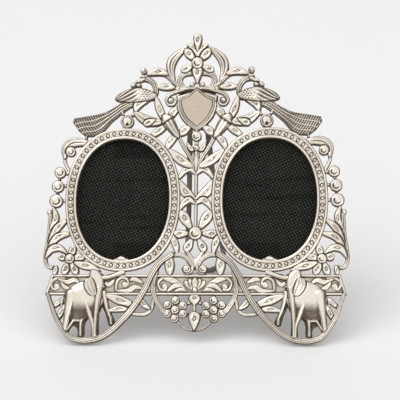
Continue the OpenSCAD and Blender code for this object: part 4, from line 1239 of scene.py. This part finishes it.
class BandOperator(CastingOperator, bpy.types.Operator):
    """Makes the base band with its scrolls, and the flower ornament that hangs under it"""
    bl_idname = "photo_frame.band"
    bl_label = "Band and pendant"
    bl_options = UNDOABLE

    def execute(self, context):
        work = castings(context)
        s = work.s
        lip_w, field_off, sunk = 1.6, 1.8, 0.2
        band = Relief(work.grid)
        band.strokes(BAND_SCROLLS, s, s.band_t - sunk, s.band_relief_h + sunk)
        band.both_sides()
        scrolls = np.where(band.depth > -0.6, band.face, 0)
        band.depth = work.depth("band")
        # flat lips along the edges, rounded outside, round a sunk field
        lip = np.clip((lip_w - band.depth) / 0.3, 0, 1) * np.clip(band.depth / 0.35, 0, 1) ** 0.5
        band.face = np.maximum(s.band_t + s.band_relief_h * lip, scrolls)
        field = np.clip((band.depth - field_off) / 0.3, 0, 1) \
            * np.clip((s.band_t + 0.4 - band.face) / 0.3, 0, 1)
        band.tarnish = 0.1 * field + 0.4 * hump(band.depth, field_off, 0.25)
        casting("base_band", band, "band_silver")
        return self.make(context, "pendant")


class RimOperator(bpy.types.Operator):
    """Makes the two oval rims with their beads and scalloped tabs"""
    bl_idname = "photo_frame.rims"
    bl_label = "Beaded rims"
    bl_options = UNDOABLE

    def execute(self, context):
        s = sizes_of(context)
        sheets = self.rim(s) + self.tab(s)
        for side, name in ((-1, "left_rim"), (1, "right_rim")):
            place = np.array([side * s.window_x, s.window_y, 0])
            moved = [(p + place, f, d) for p, f, d in sheets]
            piece_from(f"{name}_casting", moved, silver("rim_silver"), name)
        return {"FINISHED"}

    def rim(self, s):
        """Face, edges and back of a rim."""
        count, bead_points, rows = int(s.bead_count), 16, 37
        outer_lip, inner_lip, lip_h, bead_low, bead_h = 1.9, 2.0, 1.2, 0.72, 0.3
        bead_off = outer_lip + (s.rim_w - outer_lip - inner_lip) / 2
        angle, steps, around = even_angles(s.rim_outer - bead_off, count * bead_points)
        pitch = around / count
        off = np.linspace(0, s.rim_w, rows)
        inner = s.rim_w - off
        # smooth lips at both edges, lower and rounded off at the outer one
        lips = np.maximum(0.95 * self.lip(off, outer_lip), 1.15 * self.lip(inner, inner_lip))
        # beads between them, each with a ring cut into it that is deeper on one side
        near = (steps + pitch / 2) % pitch - pitch / 2
        r = np.hypot(near[:, None], (off - bead_off)[None])
        radius = s.bead_d / 2
        zone = np.clip(np.minimum(off - outer_lip, inner - inner_lip) / 0.3 + 0.5, 0, 1)
        crescent = 0.5 + 0.5 * near[:, None] / np.maximum(r, 0.1)
        ring_cut = hump(r, radius * 0.74, 0.26) * (0.45 + 0.55 * crescent)
        beads = bead_low + bead_h * np.sqrt(np.maximum(0, 1 - (r / (0.7 * radius)) ** 2)) \
            - 0.6 * ring_cut
        face = s.rim_t - lip_h + np.maximum(lips[None], beads * zone[None])
        # the ends are lapped while the hollows are found, since the rim has none
        wrap = 2 * bead_points
        tiled = np.concatenate([face[-wrap:], face, face[:wrap]])
        tarnish = hollows(tiled, np.ones(tiled.shape, bool), pitch / bead_points)[wrap:-wrap]
        # patina in the cuts, among the beads and by the lips; painted shade along the outer edge
        tarnish = np.clip(tarnish + 0.6 * ring_cut + 0.12 * zone
                          + 0.3 * hump(off, outer_lip, 0.2) + 0.3 * hump(inner, inner_lip, 0.2)
                          + 0.8 * hump(off, 0, 0.45), 0, 1)
        outside, window = face[0, 0], face[0, -1]
        # walls with painted shade that deepens towards the back, and a tarnished back
        return [oval_rings(s.rim_outer, angle, *sheet) for sheet in (
            (off, face, tarnish),
            ((0, 0), (0, outside), (1, 0.3)),
            ((s.rim_w, s.rim_w), (window, 0), (0.35, 1)),
            ((s.rim_w, 0), (0, 0), (0.5, 0.4)))]

    @staticmethod
    def lip(across, wide):
        """Rounded lip that ends at its width, as a share of its height."""
        return np.maximum(0, 1 - abs(across / wide * 2 - 1) ** 3) ** 0.5

    def tab(self, s):
        """Tab with a raised bump and three small beads under it at the foot of the opening."""
        step, margin, bead_h, bead_drop, tuck = 0.2, 1, 0.8, 1.3, 2.4
        half = math.ceil((s.tab_w / 2 + margin) / step) * step
        grid = Grid(-half, half, -s.opening[1] - 3, -s.opening[1] + s.tab_h + margin, step)
        x, y = np.meshgrid(grid.x, grid.y)
        up = y + s.opening[1]
        tab = Relief(grid)
        top = s.tab_h * (0.35 + 0.65 * hump(x, 0, s.tab_w * 0.26))
        side = s.tab_w / 2 - abs(x)
        tab.depth = np.minimum(np.minimum(0.75 * (top - up), side),
                               oval_depth(x, y, s.opening) + tuck)
        bump = np.hypot(x / (s.tab_w * 0.3), (up - 0.4 * s.tab_h) / (s.tab_h * 0.45))
        tab.face = s.rim_t - 0.9 + 0.9 * np.sqrt(np.maximum(0, 1 - bump ** 2)) \
            - 0.5 * (1 - np.clip(tab.depth / 0.7, 0, 1)) ** 2
        for middle in (-1, 0, 1):
            r = np.hypot(x - middle * s.tab_w / 4, up + bead_drop)
            tab.face = np.maximum(tab.face - 0.3 * hump(r, 1, 0.25), s.rim_t - 0.6
                                  + bead_h * np.sqrt(np.maximum(0, 1 - r ** 2)))
        return relief_sheets(tab)


DULL_BRASS = (0.16, 0.1, 0.04)
DULL_STEEL = (0.12, 0.1, 0.09)


def dress(material, names):
    """Gives CAD nodes a finish in all of their material slots."""
    for name in names:
        for slot in frame["nodes"][name].material_slots:
            slot.material = material


class BackingOperator(bpy.types.Operator):
    """Finishes the boards, glass, linings, turn buttons and rivets"""
    bl_idname = "photo_frame.backing"
    bl_label = "Backing"
    bl_options = UNDOABLE

    def execute(self, context):
        colours = context.scene.photo_frame_colours
        (_, up, _), _ = plaque_axes()
        lean = math.atan2(up[1], up[2])
        aged, patina = colours.aged_silver, colours.patina
        finishes = {
            "_lining": aged_finish("lining_silver", aged, patina, 0.34),
            "_button": aged_finish("button_brass", colours.brass, DULL_BRASS, 0.3, 1.6),
            "_rivets": aged_finish("rivet_silver", aged, patina, 0.26, 2.5),
            "_board": cloth_finish("board_cloth", colours, lean),
            "_glass": glass_finish("window_glass")}
        for ending, material in finishes.items():
            dress(material, [name for name in frame["nodes"] if name.endswith(ending)])
        return {"FINISHED"}


class StrutOperator(bpy.types.Operator):
    """Finishes the hinge and the loop strut"""
    bl_idname = "photo_frame.strut"
    bl_label = "Strut and hinge"
    bl_options = UNDOABLE

    def execute(self, context):
        colours = context.scene.photo_frame_colours
        aged, patina = colours.aged_silver, colours.patina
        # the strut's silver is darker than the hinge's
        dimmer = tuple(0.7 * c for c in aged)
        dress(aged_finish("strut_silver", dimmer, patina, 0.26), ["strut_loop"])
        dress(aged_finish("hinge_silver", aged, patina, 0.32), ["hinge_plate", "strut_barrel"])
        dress(aged_finish("pin_steel", colours.steel, DULL_STEEL, 0.28, 2), ["hinge_pin"])
        return {"FINISHED"}


# Softboxes: name, place, point that they are aimed at, width, height and watts
LAMPS = [("key_softbox", (-0.7, -0.35, 1.55), (0, 0, 0.05), 1.1, 1.1, 5.6),
         ("side_softbox", (0.7, -1.3, 0.4), (0, 0, 0.02), 1, 0.5, 3.2),
         ("top_softbox", (0.1, 0.45, 1.7), (0, 0, 0), 1.6, 0.8, 3.4)]

# The camera's place, the point that it is aimed at, and its turn about that line
CAMERA_SPOT = (0.06842, -0.80425, 0.36907)
CAMERA_AIM = (0.006485, -0.055058, 0.095445)
CAMERA_ROLL = math.radians(-1.85)


def lamp(name, spot, aim, wide, high, watts):
    light = bpy.data.lights.new(name, "AREA")
    light.shape = "RECTANGLE"
    light.size, light.size_y, light.energy = wide, high, watts
    ob = bpy.data.objects.new(name, light)
    ob.location = spot
    ob.rotation_euler = (Vector(aim) - Vector(spot)).to_track_quat("-Z", "Y").to_euler()
    bpy.context.scene.collection.objects.link(ob)


class StageOperator(bpy.types.Operator):
    """Makes the pale sweep of paper, the soft lamps, the world and the camera"""
    bl_idname = "photo_frame.stage"
    bl_label = "Stage, light and camera"
    bl_options = UNDOABLE

    def execute(self, context):
        scene = context.scene
        self.paper(paper_finish("stage_paper", scene.photo_frame_colours))
        for softbox in LAMPS:
            lamp(*softbox)
        scene.world = self.studio()
        self.camera(scene)
        scene.view_settings.view_transform = "Standard"
        return {"FINISHED"}

    def studio(self):
        """Light from all round, brightest up in front of the frame."""
        dim, bright = (0.19, 0.19, 0.19), (1.05, 1.055, 1.065)
        world = bpy.data.worlds.new("studio")
        world.use_nodes = True
        world.node_tree.nodes.clear()
        maker = Shade(world.node_tree, None)
        up = maker.node("SeparateXYZ", {}, {"Vector": maker.node("TexCoord")}, 2)
        ahead = Shade(maker.tree, up.socket.node.outputs[1])
        share = 0.7    # of each, so that the sky is brightest 45 degrees up
        facing = up * share - ahead * share
        sky = facing.within(0.1, 0.95).mix(dim, bright)
        lit = maker.node("Background", {}, {"Color": sky})
        maker.node("OutputWorld", {}, {"Surface": lit})
        return world

    def paper(self, material):
        """Floor that curves up into a backdrop."""
        front, back, radius, high, half, below = -5, 1.0, 0.7, 2.6, 5, 0.0002
        line = [(y, 0.0) for y in np.linspace(front, back, 12)]
        line += [(back + radius * math.sin(a), radius - radius * math.cos(a))
                 for a in np.linspace(0, math.pi / 2, 25)[1:]]
        line += [(back + radius, z) for z in np.linspace(radius, high, 8)[1:]]
        points = [(x, y, z - below) for y, z in line for x in (-half, half)]
        faces = [(2 * i, 2 * i + 1, 2 * i + 3, 2 * i + 2) for i in range(len(line) - 1)]
        mesh = bpy.data.meshes.new("stage_paper")
        mesh.from_pydata(points, [], faces)
        mesh.shade_smooth()
        mesh.materials.append(material)
        sweep = bpy.data.objects.new("stage_paper", mesh)
        bpy.context.scene.collection.objects.link(sweep)

    def camera(self, scene):
        spot, aim = Vector(CAMERA_SPOT), Vector(CAMERA_AIM)
        view = bpy.data.cameras.new("camera")
        view.lens, view.sensor_width = 120, 36
        view.clip_start, view.clip_end = 0.01, 20
        ob = bpy.data.objects.new("camera", view)
        turn = (aim - spot).to_track_quat("-Z", "Y").to_matrix()
        ob.matrix_world = Matrix.Translation(spot) @ (
            turn @ Matrix.Rotation(CAMERA_ROLL, 3, "Z")).to_4x4()
        scene.collection.objects.link(ob)
        scene.camera = ob


OPERATORS = (CrestOperator, ShieldOperator, PeacockOperator, BellSprayOperator, ColumnOperator,
             SideSprayOperator, RibbonOperator, ElephantOperator, BandOperator, RimOperator,
             BackingOperator, StrutOperator, StageOperator)


class PhotoFramePanel(bpy.types.Panel):
    """Lists the frame's pieces, sizes and colours"""
    bl_idname = "VIEW3D_PT_photo_frame"
    bl_label = "Double photo frame"
    bl_space_type = "VIEW_3D"
    bl_region_type = "UI"
    bl_category = "Photo frame"

    def draw(self, context):
        for operator in OPERATORS:
            self.layout.operator(operator.bl_idname)
        for group in (context.scene.photo_frame_sizes, context.scene.photo_frame_colours):
            box = self.layout.box()
            for key in group.bl_rna.properties.keys():
                if key not in ("rna_type", "name"):
                    box.prop(group, key)


CLASSES = (PhotoFrameSizes, PhotoFrameColours, *OPERATORS, PhotoFramePanel)


def register():
    for cls in CLASSES:
        bpy.utils.register_class(cls)
    bpy.types.Scene.photo_frame_sizes = PointerProperty(type=PhotoFrameSizes)
    bpy.types.Scene.photo_frame_colours = PointerProperty(type=PhotoFrameColours)


def unregister():
    del bpy.types.Scene.photo_frame_sizes
    del bpy.types.Scene.photo_frame_colours
    for cls in reversed(CLASSES):
        bpy.utils.unregister_class(cls)


def main():
    register()
    for operator in OPERATORS:
        group, name = operator.bl_idname.split(".")
        getattr(getattr(bpy.ops, group), name)()


if __name__ == "__main__":
    main()
